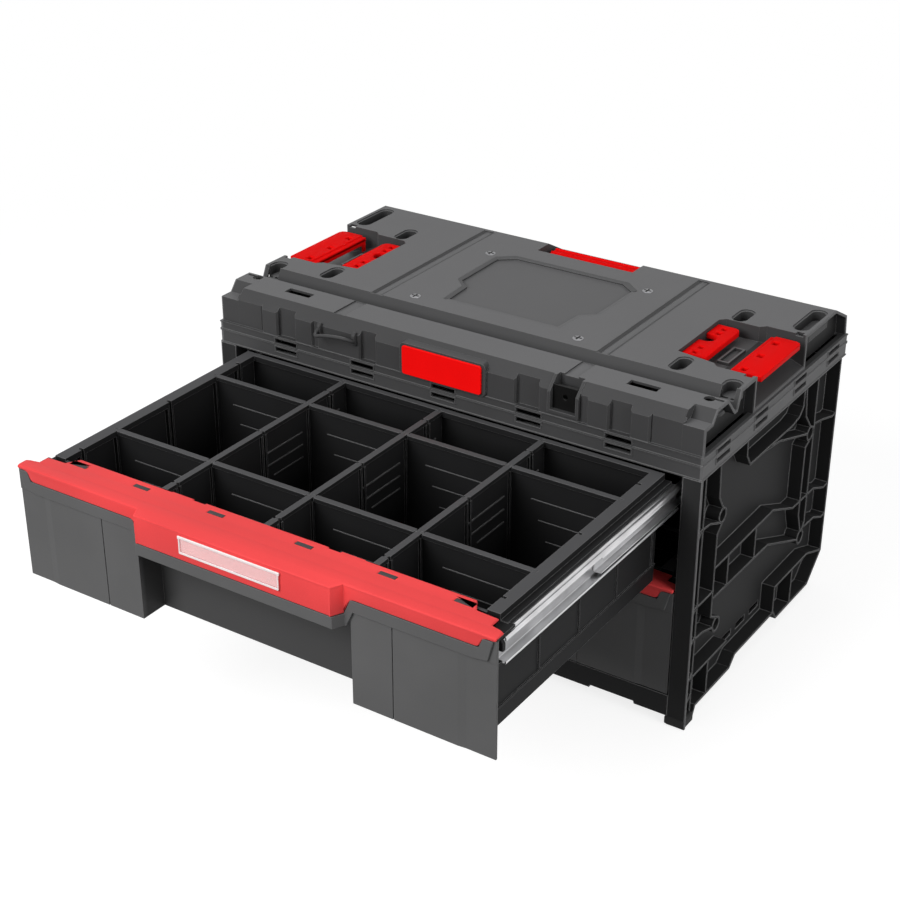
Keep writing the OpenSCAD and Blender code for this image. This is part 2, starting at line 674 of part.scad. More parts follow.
// Latches: a notched slider and a wide button in each hand recess
slider_w = 26;
slider_y = hand_y + 2 * hand_step + 8;
slider_l = 82;
slider_r = 6;
slider_notch = 8;
slider_notch_share = 0.4;
button_w = 34;
button_y = hand_y + 10;
button_l = 96;
ridge_w = 12;
ridge_h = 1.5;
window = 5;
latch_z = cabinet_h - latch_drop - latch_t;
slider_x = hand_in + run_gap;
slider_window_shares = [0.12, 0.24, 0.76, 0.88];
button_window_shares = [0.18, 0.5, 0.82];
module latch_slider(side) color("#e01a1c") in_place() to_side(side) {
    difference() {
        xy_slab(latch_z, latch_t) difference() {
            union() {
                span([slider_x, slider_y], [slider_x + slider_w, slider_y + slider_l - slider_r]);
                span([slider_x, slider_y], [slider_x + slider_w - slider_r, slider_y + slider_l]);
                translate([slider_x + slider_w - slider_r, slider_y + slider_l - slider_r])
                    circle(slider_r);
            }
            translate([slider_x, slider_y + slider_notch_share * slider_l]) circle(r = slider_notch);
        }
        for (w = slider_window_shares) translate([slider_x + slider_w / 3, slider_y
            + w * slider_l - window / 2,
            latch_z + latch_t / 2]) cube([window, window, latch_t]);
    }
    // Feet that ride on the recess floor
    for (y = [slider_y, slider_y + slider_l - slider_r])
        translate([slider_x + slider_w / 2, y, hand_floor_z + wall / 2 + run_gap])
            cube([slider_r, slider_r, latch_z + cut - hand_floor_z - wall / 2 - run_gap]);
}
button_x = shell_x - button_w;
module latch_button(side) color("#e01a1c") in_place() to_side(side) {
    difference() {
        union() {
            xy_slab(latch_z, latch_t - ridge_h) {
                span([button_x, button_y], [button_x + button_w, button_y + button_l - slider_r]);
                span([button_x, button_y], [button_x + button_w - slider_r, button_y + button_l]);
                translate([button_x + button_w - slider_r, button_y + button_l - slider_r])
                    circle(slider_r);
            }
            translate([button_x, button_y, latch_z]) cube([ridge_w, button_l, latch_t]);
        }
        for (w = button_window_shares) translate([button_x + button_w / 3, button_y
            + w * button_l - window / 2,
            latch_z + latch_t / 2]) cube([window, window, latch_t]);
    }
    for (y = [button_y, button_y + button_l - slider_r])
        translate([button_x, y, button_foot_z]) cube([rib, slider_r, latch_z + cut - button_foot_z]);
}
floor_slope = (hand_floor_z - flange_top - wall / 2) / (half_w - hand_mid);
button_foot_z = hand_floor_z - (button_x - hand_mid) * floor_slope + wall / 2 + 2 * run_gap;

// Rear hook: ribbed bar that slides in the notch
rear_hook_w = 110;
rear_hook_l = 30;
rear_hook_y = notch_y + hook_travel;
rear_hook_ribs = 3;
module rear_hook() color("#e01a1c") in_place() {
    hook_z = notch_floor_z + run_gap;
    hook_h = cabinet_h - 2 * latch_drop - hook_z;
    translate([-rear_hook_w / 2, rear_hook_y, hook_z]) cube([rear_hook_w, rear_hook_l, hook_h]);
    for (i = [0:rear_hook_ribs - 1])
        translate([-rear_hook_w / 2, rear_hook_y + (i + 0.5) * rear_hook_l / rear_hook_ribs, hook_z
            + hook_h])
            cube([rear_hook_w, rib, ridge_h]);
}

// Slides: three nested channels that run on balls
slide_drop_share = 0.9;
slide_mid = front_h - slide_drop_share * slide_h;
// Clearance between the middle and the small channel
slide_gap = 0.3;
slide_start = 18;
slide_out = bay_x - wall + run_gap / 2;
slide_in = slide_out - slide_w;
mid_h = slide_h - 2 * (ball_d + steel_t);
inner_h = mid_h - 2 * steel_t - 2 * slide_gap;
outer_lip = 2.5 * steel_t;
mid_w = slide_w - 3 * steel_t;
inner_w = slide_w - 5 * steel_t;
function slide_z(name) = base_z(name) + slide_mid;
// Channel with its back at x = 0 and lips towards -x, centred on z = 0
module channel(w, h, lip) {
    translate([-steel_t, -h / 2]) square([steel_t, h]);
    for (s = [-1, 1]) {
        translate([-w, s * (h - steel_t) / 2 - steel_t / 2]) square([w, steel_t]);
        translate([-w, s * (h / 2 - lip / 2) - lip / 2]) square([steel_t, lip]);
    }
}
module slide_run(name, y, l) translate([0, y, slide_z(name)]) xz_slab(0, l) children();
hole_shares = [0.12, 0.5, 0.88];
// Large channel on the drawer, opening outwards
module outer_slide(name, side) color("#c8c8c8") in_place() to_side(side) difference() {
    slide_run(name, slide_start + run_out(name), slide_l)
        translate([slide_in, 0]) mirror([1, 0]) channel(slide_w - steel_t, slide_h, outer_lip);
    for (h = hole_shares)
        translate([slide_in - cut, slide_start + run_out(name) + h * slide_l, slide_z(name)])
        rotate([0, 90, 0]) cylinder(d = screw_d, h = slide_w / 2);
}
module middle_slide(name, side) color("#c8c8c8") in_place() to_side(side)
    slide_run(name, slide_start + run_out(name) / 2, slide_l)
        translate([slide_in + steel_t + run_gap, 0]) mirror([1, 0]) channel(mid_w, mid_h, steel_t);
// Small channel on the case, opening inwards
module inner_slide(name, side) color("#c8c8c8") in_place() to_side(side) difference() {
    slide_run(name, slide_start, slide_l) translate([slide_out, 0]) channel(inner_w, inner_h, steel_t);
    for (h = hole_shares) translate([slide_out - slide_w / 2, slide_start + h * slide_l, slide_z(name)])
        rotate([0, 90, 0]) cylinder(d = screw_d, h = slide_w);
}
// Balls between the large and the middle channel, held in a strip
cage_balls = 9;
cage_l = slide_l / 3;
// Share of the drawer's travel that the balls follow
cage_share = 0.75;
cage_ball_d = ball_d - run_gap;
cage_t = 0.8;
module ball_cage(name, side) color("#b0b0b0") in_place() to_side(side) for (s = [-1, 1]) {
    cage_y = slide_start + (slide_l - cage_l) / 2 + cage_share * run_out(name);
    cage_x = slide_in + steel_t + run_gap + ball_d / 2;
    cage_z = slide_z(name) + s * (mid_h + ball_d) / 2;
    translate([cage_x, cage_y, cage_z]) {
        for (i = [0:cage_balls - 1]) translate([0, (i + 0.5) * cage_l / cage_balls, 0])
            sphere(d = cage_ball_d);
        difference() {
            translate([-cage_ball_d / 2, 0, -cage_t / 2]) cube([2 * cage_ball_d, cage_l, cage_t]);
            for (i = [0:cage_balls - 1]) translate([0, (i + 0.5) * cage_l / cage_balls, -cage_t])
                cylinder(d = cage_ball_d + run_gap, h = 2 * cage_t);
        }
    }
}
// Plate behind each slide, screwed to the side panel
carrier_drop = 50;
module slide_carrier(side) color("#202020") in_place() to_side(side) difference() {
    for (name = LEVELS) translate([slide_out, slide_start, slide_z(name) - carrier_drop])
        cube([bay_x - slide_out, slide_l, carrier_drop + slide_h / 2]);
    for (t = tube_shares) translate([slide_out - cut, on_side(t)[0], on_side(t)[1]]) rotate([0, 90, 0])
        cylinder(d = screw_d + run_gap, h = bay_x - slide_out + 2 * cut);
}

// Tray of a drawer, counted from the plane of its front's wings
tray_y = recess_d + wall;
tray_h = front_h - run_gap;
tray_side_gap = 8.8;
tray_out = slide_in - tray_side_gap;
tray_back_gap = 18;
tray_back = cabinet_d - tray_back_gap;
tray_z = 2;
rim_w = 13;
rim_out = tray_out + 6;
tray_in = rim_out - rim_w;
rim_h = 6;
seat_h = 14;
slot_shares = [0.072, 0.25, 0.515, 0.778, 0.9];
used_slots = [1, 3];
long_share = 0.505;
long_x = tray_in * long_share;
tray_in_l = tray_back - wall - tray_y - wall;
function slot_y(i) = tray_y + wall + slot_shares[i] * tray_in_l;
guide_w = 2.4;
slot_w_of_divider = divider_t + 2 * divider_gap;
cap_w = 6.4;
cap_h = 4;
cap_z = tray_h - divider_gap - cap_h;
module guides(w, h) for (i = [0:len(slot_shares) - 1], s = [-1, 1])
    translate([0, slot_y(i) + s * (slot_w_of_divider + guide_w) / 2 - guide_w / 2, 0]) cube([w,
        guide_w, h]);
// Shallow ribs on the tray's sides
tray_ribs = 5;
side_rib_out = 1.3;
side_rib_z = 22;
// Ledge over each slide, with a stop of bent section at its front end
ledge_out = slide_in + 4.4;
ledge_t = 4;
stop_y = 9;
stop_z = slide_mid - slide_h / 3;
stop_top = tray_h - rim_h - ledge_t / 2;
stop_t = 2.4;
stop_outline = [[slide_start - run_gap, stop_z], [stop_y + stop_t, stop_z], [stop_y, stop_z + stop_t],
    [stop_y, stop_top - stop_t], [stop_y + stop_t, stop_top], [tray_y + wall, stop_top]];
// Tabs of the tray that fill the outer windows of the handle
handle_window = [18, 5.4];
handle_window_y = 29.6;
handle_window_shares = [0.186, 0.52, 0.81];
tab_gap = 0.7;
tab_h = 9;
module window_tab(x, back, drop) translate([x - handle_window[0] / 2 + tab_gap, handle_window_y + tab_gap,
    front_h - drop - tab_h]) cube([handle_window[0] - 2 * tab_gap, back - handle_window_y - tab_gap,
        tab_h]);
module at_drawer(name) translate([0, open_y(name), base_z(name)]) children();
module tray(name) color("#1c1c1c") in_place() at_drawer(name) difference() {
    side_l = tray_back - tray_y;
    union() {
        // Box, its front wall kept under the handle
        translate([-tray_out, tray_y, tray_z]) cube([2 * tray_out, side_l,
            front_h - wall - run_gap - tray_z]);
        translate([-tray_out, tray_back - rim_w / 2, tray_h - rim_h]) cube([2 * tray_out, rim_w / 2,
            rim_h]);
        for (m = [0, 1]) mirror([m, 0, 0]) {
            translate([tray_in, tray_y, tray_h - rim_h]) cube([rim_w, side_l, rim_h]);
            for (i = [0:tray_ribs - 1])
                translate([tray_out - cut, tray_y + wall + i * (side_l - 4 * wall) / (tray_ribs - 1),
                    side_rib_z])
                    cube([side_rib_out + cut, rib, slide_mid - side_rib_z]);
            translate([tray_out - cut, tray_y, side_rib_z - rib]) cube([side_rib_out + cut, side_l, rib]);
            translate([tray_out - cut, tray_y, slide_mid - seat_h / 2])
                cube([slide_in - tray_out + cut, side_l, seat_h]);
            translate([tray_out - cut, tray_y, tray_h - rim_h - ledge_t])
                cube([ledge_out - tray_out + cut, side_l, ledge_t]);
            yz_slab(rim_out, slide_w) strip(stop_outline, stop_t);
            for (w = [1, 2]) window_tab(handle_window_shares[w] * front_x, handle_window_y
                + handle_window[1] - tab_gap, run_gap);
        }
    }
    difference() {
        translate([-tray_out + wall, tray_y + wall, tray_z + wall])
            cube([2 * (tray_out - wall), tray_in_l, tray_h]);
        for (m = [0, 1]) mirror([m, 0, 0]) {
            translate([-tray_out, 0, 0]) guides(tray_out - tray_in, tray_h - rim_h);
            translate([tray_in, tray_y, tray_h - rim_h]) cube([rim_w, side_l, rim_h]);
        }
        translate([-tray_out, tray_back - rim_w / 2, tray_h - rim_h]) cube([2 * tray_out, rim_w / 2,
            rim_h]);
    }
    // Notches in the rim where the dividers drop in
    for (i = [0:len(slot_shares) - 1])
        translate([-tray_out + wall, slot_y(i) - slot_w_of_divider / 2, tray_h - rim_h - cut])
            cube([2 * (tray_out - wall), slot_w_of_divider, 2 * rim_h]);
    for (x = [-long_x, 0, long_x]) translate([x - slot_w_of_divider / 2, tray_back - rim_w,
        tray_h - rim_h - cut])
        cube([slot_w_of_divider, rim_w - wall, 2 * rim_h]);
}

// Dividers, with caps along their upper edges
divider_z = tray_z + wall + divider_gap;
face_rib = 0.6;
face_rib_shares = [[0.2, 0.9, 0.8], [0.27, 0.88, 0.62], [0.34, 0.84, 0.44]];
module face_ribs_on(l, t) for (r = face_rib_shares) translate([l * r[0], -face_rib, divider_z
    + cap_z * (r[2] - 0.05)])
    cube([l * (r[1] - r[0]), t + 2 * face_rib, rib / 2]);
module long_divider() {
    front_end = handle_back + divider_gap;
    back_end = tray_back - rim_w / 2 - divider_gap;
    translate([-divider_t / 2, tray_y + wall + divider_gap, divider_z])
        cube([divider_t, tray_in_l - 2 * divider_gap, front_h - wall - run_gap - divider_z]);
    translate([-divider_t / 2, front_end, divider_z])
        cube([divider_t, tray_back - wall - divider_gap - front_end, tray_h - divider_gap - divider_z]);
    difference() {
        translate([-cap_w / 2, front_end, cap_z]) cube([cap_w, back_end - front_end, cap_h]);
        for (i = [0:len(slot_shares) - 1], s = [-1, 1])
            translate([s * (divider_t + cap_w) / 2 - cap_w / 2, slot_y(i) - slot_w_of_divider / 2,
                cap_z - cut])
                cube([cap_w, slot_w_of_divider, cap_h + 2 * cut]);
    }
    for (m = [0, 1]) mirror([m, 0, 0]) translate([0, 0, divider_z])
        guides(divider_t / 2 + guide_w, cap_z - divider_gap - divider_z);
}
module long_dividers(name) color("#222222") in_place() at_drawer(name)
    for (x = [-long_x, 0, long_x]) translate([x, 0, 0]) long_divider();
divider_xs = [-tray_out + wall, -long_x, 0, long_x, tray_out - wall];
cap_in = cap_w / 2 + divider_gap;
module cross_dividers(name, slot) color("#222222") in_place() at_drawer(name) for (k = [0:3]) {
    x0 = divider_xs[k] + divider_gap + (k == 0 ? 0 : divider_t / 2);
    x1 = divider_xs[k + 1] - divider_gap - (k == 3 ? 0 : divider_t / 2);
    c0 = k == 0 ? -tray_in + divider_gap : divider_xs[k] + cap_in + guide_w / 2;
    c1 = k == 3 ? tray_in - divider_gap : divider_xs[k + 1] - cap_in - guide_w / 2;
    translate([0, slot_y(slot) - divider_t / 2, 0]) {
        translate([x0, 0, divider_z]) cube([x1 - x0, divider_t, tray_h - divider_gap - divider_z]);
        translate([c0, (divider_t - cap_w) / 2, cap_z]) cube([c1 - c0, cap_w, cap_h]);
        translate([x0, 0, 0]) face_ribs_on(x1 - x0, divider_t);
    }
}

// Drawer front: wings, finger recess and a lip that follows the handle's lower edge
wing_y = 2;
handle_h = 14;
handle_mid_h = 29.5;
lip_h = 12;
lip_t = 2.4;
tongue_h = 4;
mid_x = handle_mid_w / 2;
wing_x = mid_x + handle_out / 2;
recess_x = mid_x + handle_out + wall / 2;
swing = 7;
end_step = 16.5;
end_slope = 4;
// Lower edge of the handle on a wing, from the finger recess outwards
handle_edge = [[wing_x, front_h - handle_mid_h], [wing_x + swing, front_h - handle_h],
    [front_x - end_step, front_h - handle_h], [front_x - end_step + end_slope, front_h - tongue_h]];
lip_end = 8;
lip_foot = 3;
function lowered(points, d) = [for (p = points) [p[0], p[1] - d]];
lip_outline = concat(lowered(handle_edge, run_gap), [[front_x - lip_foot, front_h - tongue_h - run_gap],
    [front_x - lip_end, front_h - handle_h - lip_h + rib], [front_x - end_step - lip_end,
        front_h - handle_h - lip_h],
    [wing_x + swing + rib, front_h - handle_h - lip_h], [wing_x + rib, front_h - handle_mid_h - lip_h],
    [wing_x, front_h - handle_mid_h - lip_h]]);
wing_outline = [[recess_x - wall / 2, 0], [front_x, 0], [front_x, front_h - tongue_h - run_gap],
    [front_x - end_step + end_slope, front_h - tongue_h - run_gap], [front_x - end_step,
        front_h - handle_h - run_gap],
    [recess_x - wall / 2, front_h - handle_h - run_gap]];
lip_path = [[wing_x + cut, lip_t / 2], [wing_x, lip_t / 2], [mid_x, lip_t / 2 - handle_out]];
// A groove and a slope divide each wing
crease_share = 0.612;
crease_w = 1.2;
crease_h = 0.8;
slope_share = 0.86;
slope_w = 8;
module crossing_strip(points, w) strip(to_other_side(points), w);
module front(name) color("#4a4a4a") in_place() at_drawer(name) {
    low_h = front_h - handle_mid_h - run_gap;
    xy_slab(0, low_h) crossing_strip([[recess_x, wing_y], [recess_x, recess_d + wall / 2]], wall);
    xy_slab(low_h - cut, front_h - wall - run_gap - low_h + cut)
        crossing_strip([[recess_x, wing_y + wall / 2], [recess_x, recess_d + wall / 2]], wall);
    for (m = [0, 1]) mirror([m, 0, 0]) {
        difference() {
            xz_slab(wing_y, wall) polygon(wing_outline);
            translate([crease_share * front_x, wing_y - cut, -cut]) cube([crease_w, crease_h + cut,
                front_h]);
            xy_slab(-cut, front_h - handle_h - lip_h + cut) polygon([[slope_share * front_x, wing_y],
                [slope_share * front_x + slope_w, wing_y + crease_h], [front_x + cut, wing_y + crease_h],
                [front_x + cut, 0], [slope_share * front_x, 0]]);
        }
        xz_slab(0, wing_y) polygon(lip_outline);
        window_tab(handle_window_shares[0] * front_x, recess_d + wall / 2, run_gap);
    }
    xy_slab(front_h - handle_mid_h - lip_h, lip_h - run_gap) crossing_strip(lip_path, lip_t);
}

// Handle: cap over the front's upper edge
handle_back = 42;
notch_in = 14;
tongue_d = 16;
rear_notch_share = 0.26;
handle_outline = [[mid_x, -handle_out], [wing_x, 0], [front_x - wing_y, 0], [front_x, wing_y],
    [front_x, tongue_d - rib * 2], [front_x - tongue_h, tongue_d - rib], [front_x - notch_in, tongue_d],
    [front_x - notch_in, recess_d - tongue_h], [tray_in - rim_h, recess_d - rim_h / 2],
    [tray_in - notch_in, handle_back - cut], [mid_x, handle_back - cut], [mid_x - cut, handle_back]];
handle_path = [[wing_x, wall / 2], [mid_x, wall / 2 - handle_out]];
module handle(name) color("#ee5254") in_place() at_drawer(name) {
    difference() {
        union() {
            xy_slab(front_h - wall, wall) polygon(to_other_side(handle_outline));
            xy_slab(front_h - handle_mid_h, handle_mid_h) crossing_strip(handle_path, wall);
            for (m = [0, 1]) mirror([m, 0, 0]) xz_slab(0, wall) polygon(concat(handle_edge,
                [[front_x, front_h - tongue_h], [front_x, front_h], [wing_x, front_h]]));
        }
        for (m = [0, 1], w = handle_window_shares) mirror([m, 0, 0])
            translate([w * front_x - handle_window[0] / 2, handle_window_y, front_h - wall - cut])
                cube([handle_window[0], handle_window[1], wall + 2 * cut]);
        // A short notch in the rear edge above each inner compartment
        for (m = [0, 1]) mirror([m, 0, 0]) translate([rear_notch_share * front_x, handle_back - rib,
            front_h - wall - cut])
            cube([notch_in, rib + cut, wall + 2 * cut]);
    }
}

// Label window: clear cover on a hinge bar over a card
card_t = 0.5;
cover_t = 1.2;
label_drop = 3.5;
label_z = front_h - label_drop;
label_y = -handle_out - label_proud;
hinge_d = 1.8;
module label_cover(name) color("#f2d8d8") in_place() at_drawer(name) {
    translate([-label_w / 2, label_y, label_z - label_h]) cube([label_w, cover_t, label_h - hinge_d / 2]);
    translate([-label_w / 2, label_y + hinge_d / 2, label_z - hinge_d / 2]) rotate([0, 90, 0])
        cylinder(d = hinge_d, h = label_w);
}
module label_card(name) color("#ffb0b0") in_place() at_drawer(name)
    translate([-label_w / 2 + wall, -handle_out - card_t, label_z - label_h + rib])
        cube([label_w - 2 * wall, card_t, label_h - 2 * rib]);

lid();
collar_frame();
back_panel();
floor_panel();
bottom_rail();
name_plate();
cable_hook();
lock_plate();
deck_screws();
case_screws();
rear_hook();
for (s = SIDES) {
    side_panel(s);
    slide_carrier(s);
    latch_slider(s);
    latch_button(s);
}
for (l = LEVELS, s = SIDES) {
    outer_slide(l, s);
    middle_slide(l, s);
    ball_cage(l, s);
    inner_slide(l, s);
}
for (l = LEVELS) {
    tray(l);
    front(l);
    handle(l);
    label_cover(l);
    label_card(l);
    long_dividers(l);
    cross_dividers(l, used_slots[0]);
    cross_dividers(l, used_slots[1]);
}
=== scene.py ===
import math

import bmesh
import bpy
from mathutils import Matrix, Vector

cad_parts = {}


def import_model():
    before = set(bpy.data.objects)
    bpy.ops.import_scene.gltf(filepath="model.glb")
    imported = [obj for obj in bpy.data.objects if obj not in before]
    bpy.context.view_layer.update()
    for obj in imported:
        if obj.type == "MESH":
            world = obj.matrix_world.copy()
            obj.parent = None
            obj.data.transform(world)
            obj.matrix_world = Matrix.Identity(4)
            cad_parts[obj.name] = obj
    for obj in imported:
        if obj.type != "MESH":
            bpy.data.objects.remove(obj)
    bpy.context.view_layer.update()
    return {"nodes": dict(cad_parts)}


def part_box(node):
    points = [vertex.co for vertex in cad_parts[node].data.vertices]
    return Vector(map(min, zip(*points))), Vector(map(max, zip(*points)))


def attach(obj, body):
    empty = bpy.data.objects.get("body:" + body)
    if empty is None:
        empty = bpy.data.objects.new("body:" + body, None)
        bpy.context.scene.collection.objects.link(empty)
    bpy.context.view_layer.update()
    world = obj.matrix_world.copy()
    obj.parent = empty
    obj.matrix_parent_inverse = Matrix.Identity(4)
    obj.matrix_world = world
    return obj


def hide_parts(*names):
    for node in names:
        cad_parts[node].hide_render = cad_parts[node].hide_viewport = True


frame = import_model()


# Side panels, back, floor, rail and slide carriers: the black body of the case, moulded
# in glass-filled polypropylene with thin ribs, and screwed together through long tubes.
SIDES = (("left", -1), ("right", 1))


def feed(node, name, value):
    """Links a value to the node's input, or sets it there where it is a number or colour."""
    if isinstance(value, Sock):
        value.tree.links.new(value.socket, node.inputs[name])
    else:
        node.inputs[name].default_value = value


class Sock:
    """An output socket of a shader tree, for use in expressions. Without one it is the tree."""

    def __init__(self, tree, socket=None):
        self.tree = tree
        self.socket = socket

    def node(self, kind, settings=None, out=0, **inputs):
        """A node of any kind. Its inputs go by name, with _ for a space, or as i and a number."""
        node = self.tree.nodes.new(kind)
        for key, value in (settings or {}).items():
            setattr(node, key, value)
        for key, value in inputs.items():
            feed(node, int(key[1:]) if key[1:].isdigit() else key.replace("_", " "), value)
        return Sock(self.tree, node.outputs[out])

    def math(self, operation, other=0.0):
        return self.node("ShaderNodeMath", {"operation": operation}, i0=self, i1=other)

    def __add__(self, other):
        return self.math("ADD", other)

    __radd__ = __add__

    def __mul__(self, other):
        return self.math("MULTIPLY", other)

    __rmul__ = __mul__

    def __sub__(self, other):
        return self.math("SUBTRACT", other)

    def __rsub__(self, other):
        return self.node("ShaderNodeMath", {"operation": "SUBTRACT"}, i0=other, i1=self)

    def __abs__(self):
        return self.math("ABSOLUTE")

    def axis(self, name):
        return self.node("ShaderNodeSeparateXYZ", out=name, Vector=self)

    def above(self, low, high):
        """0 below low, 1 above high, smooth between."""
        return self.node(
            "ShaderNodeMapRange", {"interpolation_type": "SMOOTHSTEP"},
            Value=self, From_Min=low, From_Max=high, To_Min=0.0, To_Max=1.0,
        )

    def mix(self, first, second):
        """The first colour where this is 0, the second where it is 1."""
        return self.node(
            "ShaderNodeMix", {"data_type": "RGBA"}, out=2, i0=self, i6=first, i7=second
        )


def new_material(name):
    material = bpy.data.materials.new(name)
    material.use_nodes = True
    tree = material.node_tree
    return material, Sock(tree), tree.nodes["Principled BSDF"]


def shade_of(colour, times):
    return tuple(min(1, c * times) for c in colour[:3]) + (1,)


def moulded(
    name, colour, edge_highlight, rough, gloss=0.1, grain=0.0001, edge=0.0008,
    top_light=1.0, shelves=(), hollow=0, end_light_x=0, end_light_times=2.3, recess_shade_y=None,
):
    """Moulded plastic: spark grain, slow change of tone, painted edge highlight, and tops
    painted lighter as light from above.

    grain is the depth of the spark marks and edge the width of an edge, in metres, and
    edge_highlight the painted highlight on the edges. top says how many times lighter the tops are
    painted, as painted light from above, and shelves the heights at which they are so, every
    height if none is given. hollow is how far out the walls stand that get painted shade, as
    the shade of the ends, rims how far out the end faces begin that are painted end_light_times
    times lighter, as painted light from the side, and deep the y behind which the recess of a
    front is painted darker, as its shade.
    """
    material, sock, shader = new_material(name)
    place = sock.node("ShaderNodeTexCoord", out="Object")
    spark = sock.node("ShaderNodeTexNoise", Vector=place, Scale=1100.0, Detail=2.0, Roughness=0.6)
    slow = sock.node("ShaderNodeTexNoise", Vector=place, Scale=8.0, Detail=3.0, Roughness=0.55)
    rounded = sock.node("ShaderNodeBevel", {"samples": 6}, Radius=edge)
    flat = sock.node("ShaderNodeNewGeometry", out="Normal")
    facing = sock.node(
        "ShaderNodeVectorMath", {"operation": "DOT_PRODUCT"}, out="Value", i0=rounded, i1=flat
    )
    # Painted highlight: where the rounded normal turns from the flat one, the edge takes the
    # lighter edge colour.
    edges = (1.0 - facing).above(0.02, 0.2)
    # Painted light from above: faces turned up, only near the shelf heights where these are given,
    # take the lighter tone.
    up = flat.axis("Z").above(0.93, 0.99)
    if shelves:
        height = place.axis("Z")
        off = abs(height - shelves[0])
        for shelf in shelves[1:]:
            off = off.math("MINIMUM", abs(height - shelf))
        up = up * (1.0 - off.above(0.0012, 0.0062))
    tone = (slow * 0.75 + spark * 0.25).above(0.3, 0.7)
    side = tone.mix(shade_of(colour, 0.9), shade_of(colour, 1.08))
    deck = tone.mix(shade_of(colour, 0.95 * top_light), shade_of(colour, 1.05 * top_light))
    body = up.mix(side, deck)
    # Painted shade: walls facing along x at the hollow distance are darkened almost to black.
    if hollow:
        outward = abs(flat.axis("X")).above(0.9, 0.95)
        wall_shade = 1.0 - abs(abs(place.axis("X")) - hollow).above(0.0008, 0.0012)
        body = (outward * wall_shade * 0.8).mix(body, (0.004, 0.004, 0.004, 1))
    # Painted light from the side: end faces lying beyond the given x are painted lighter.
    if end_light_x:
        end_light_mask = abs(place.axis("X")).above(end_light_x, end_light_x + 0.0003)
        body = end_light_mask.mix(body, shade_of(colour, end_light_times))
    # Painted shade: a front's recess, behind the given y, is painted darker.
    if recess_shade_y is not None:
        behind = place.axis("Y").above(recess_shade_y, recess_shade_y + 0.006)
        body = behind.mix(body, shade_of(colour, 0.5))
    bump = sock.node("ShaderNodeBump", Strength=0.4, Distance=grain, Height=spark, Normal=rounded)
    feed(shader, "Base Color", edges.mix(body, edge_highlight))
    feed(shader, "Roughness", rough + (slow - 0.5) * 0.12 + (spark - 0.5) * 0.1)
    feed(shader, "Specular IOR Level", gloss)
    feed(shader, "Normal", bump)
    return material


def finish_with(material, *names):
    """Gives the CAD nodes of these names their finish."""
    for name in names:
        for slot in frame["nodes"][name].material_slots:
            slot.material = material


# In every moulded finish the second colour is the painted highlight along its edges.
# The case's end faces are painted 5.5 times lighter, as painted light from the side, and its edge
# highlight is wide.
case_black = moulded(
    "case_black", (0.023, 0.023, 0.0235, 1), (0.26, 0.26, 0.262, 1), 0.6, 0.06,
    edge=0.0019, end_light_x=0.2868, end_light_times=5.5,
)
finish_with(case_black, "back_panel", "floor_panel", "bottom_rail")
for side, _ in SIDES:
    finish_with(case_black, f"side_panel_{side}", f"slide_carrier_{side}")


# Feet: hard rubber boots pushed over the toes of the two front posts, held by a snug fit.
# They stand a little proud of the post and have rounded corners.
def skin(form, rows):
    """Closes rows of corners, one after the other, to a solid."""
    for row, after in zip(rows, rows[1:]):
        for i in range(len(row)):
            j = (i + 1) % len(row)
            form.faces.new((row[i], row[j], after[j], after[i]))
    form.faces.new(rows[0][::-1])
    form.faces.new(rows[-1])


boot_black = moulded(
    "boot_black", (0.016, 0.016, 0.016, 1), (0.05, 0.05, 0.05, 1), 0.7, 0.2, 0.0002
)
boot_tall, boot_deep, boot_draft, boot_corner = 0.011, 0.021, 0.0012, 0.003
boot_inward, boot_inset, boot_proud = 0.0025, 0.0004, 0.0012
post_low, post_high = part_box("side_panel_right")
boot_near, boot_far = post_low.x - boot_inward, post_high.x - boot_inset
boot_front, boot_rear = post_low.y - boot_proud, post_low.y + boot_deep
for side, mirror in SIDES:
    mesh = bpy.data.meshes.new(f"foot_boot_{side}")
    form = bmesh.new()
    rows = []
    for z, draw in (
        (0.0, boot_draft), (0.0015, 0.0), (boot_tall - 0.003, 0.0), (boot_tall, boot_draft)
    ):
        corners = (
            (boot_near + draw, boot_front + draw), (boot_far - draw, boot_front + draw),
            (boot_far - draw, boot_rear - draw), (boot_near + draw, boot_rear - draw),
        )
        rows.append([form.verts.new((mirror * x, y, z)) for x, y in corners])
    skin(form, rows)
    bmesh.ops.recalc_face_normals(form, faces=form.faces)
    form.to_mesh(mesh)
    form.free()
    mesh.materials.append(boot_black)
    boot = bpy.data.objects.new(f"foot_boot_{side}", mesh)
    bpy.context.collection.objects.link(boot)
    corner = boot.modifiers.new("corner", "BEVEL")
    corner.width = boot_corner
    corner.segments = 4
    corner.angle_limit = math.radians(50)
    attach(boot, "cabinet")


# Lid and collar: charcoal plastic, the lid clipped down on the collar through the row of
# small windows. The deck and its ledge are painted lighter than the sides, as painted light from
# above, and the collar's flat faces less so. The lid's end walls carry a painted shade, and the
# end faces of both are painted lighter, as painted light from the side.
deck_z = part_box("lid")[1].z
ledge_z = deck_z - 0.013
lid_charcoal = moulded(
    "lid_charcoal", (0.045, 0.045, 0.046, 1), (0.17, 0.17, 0.172, 1), 0.55, 0.15, top_light=2.8,
    shelves=(deck_z, ledge_z), hollow=0.2754, end_light_x=0.2845,
)
collar_charcoal = moulded(
    "collar_charcoal", (0.05, 0.05, 0.051, 1), (0.17, 0.17, 0.172, 1), 0.55, 0.15, top_light=1.6,
    end_light_x=0.2845,
)
finish_with(lid_charcoal, "lid")
finish_with(collar_charcoal, "collar_frame")


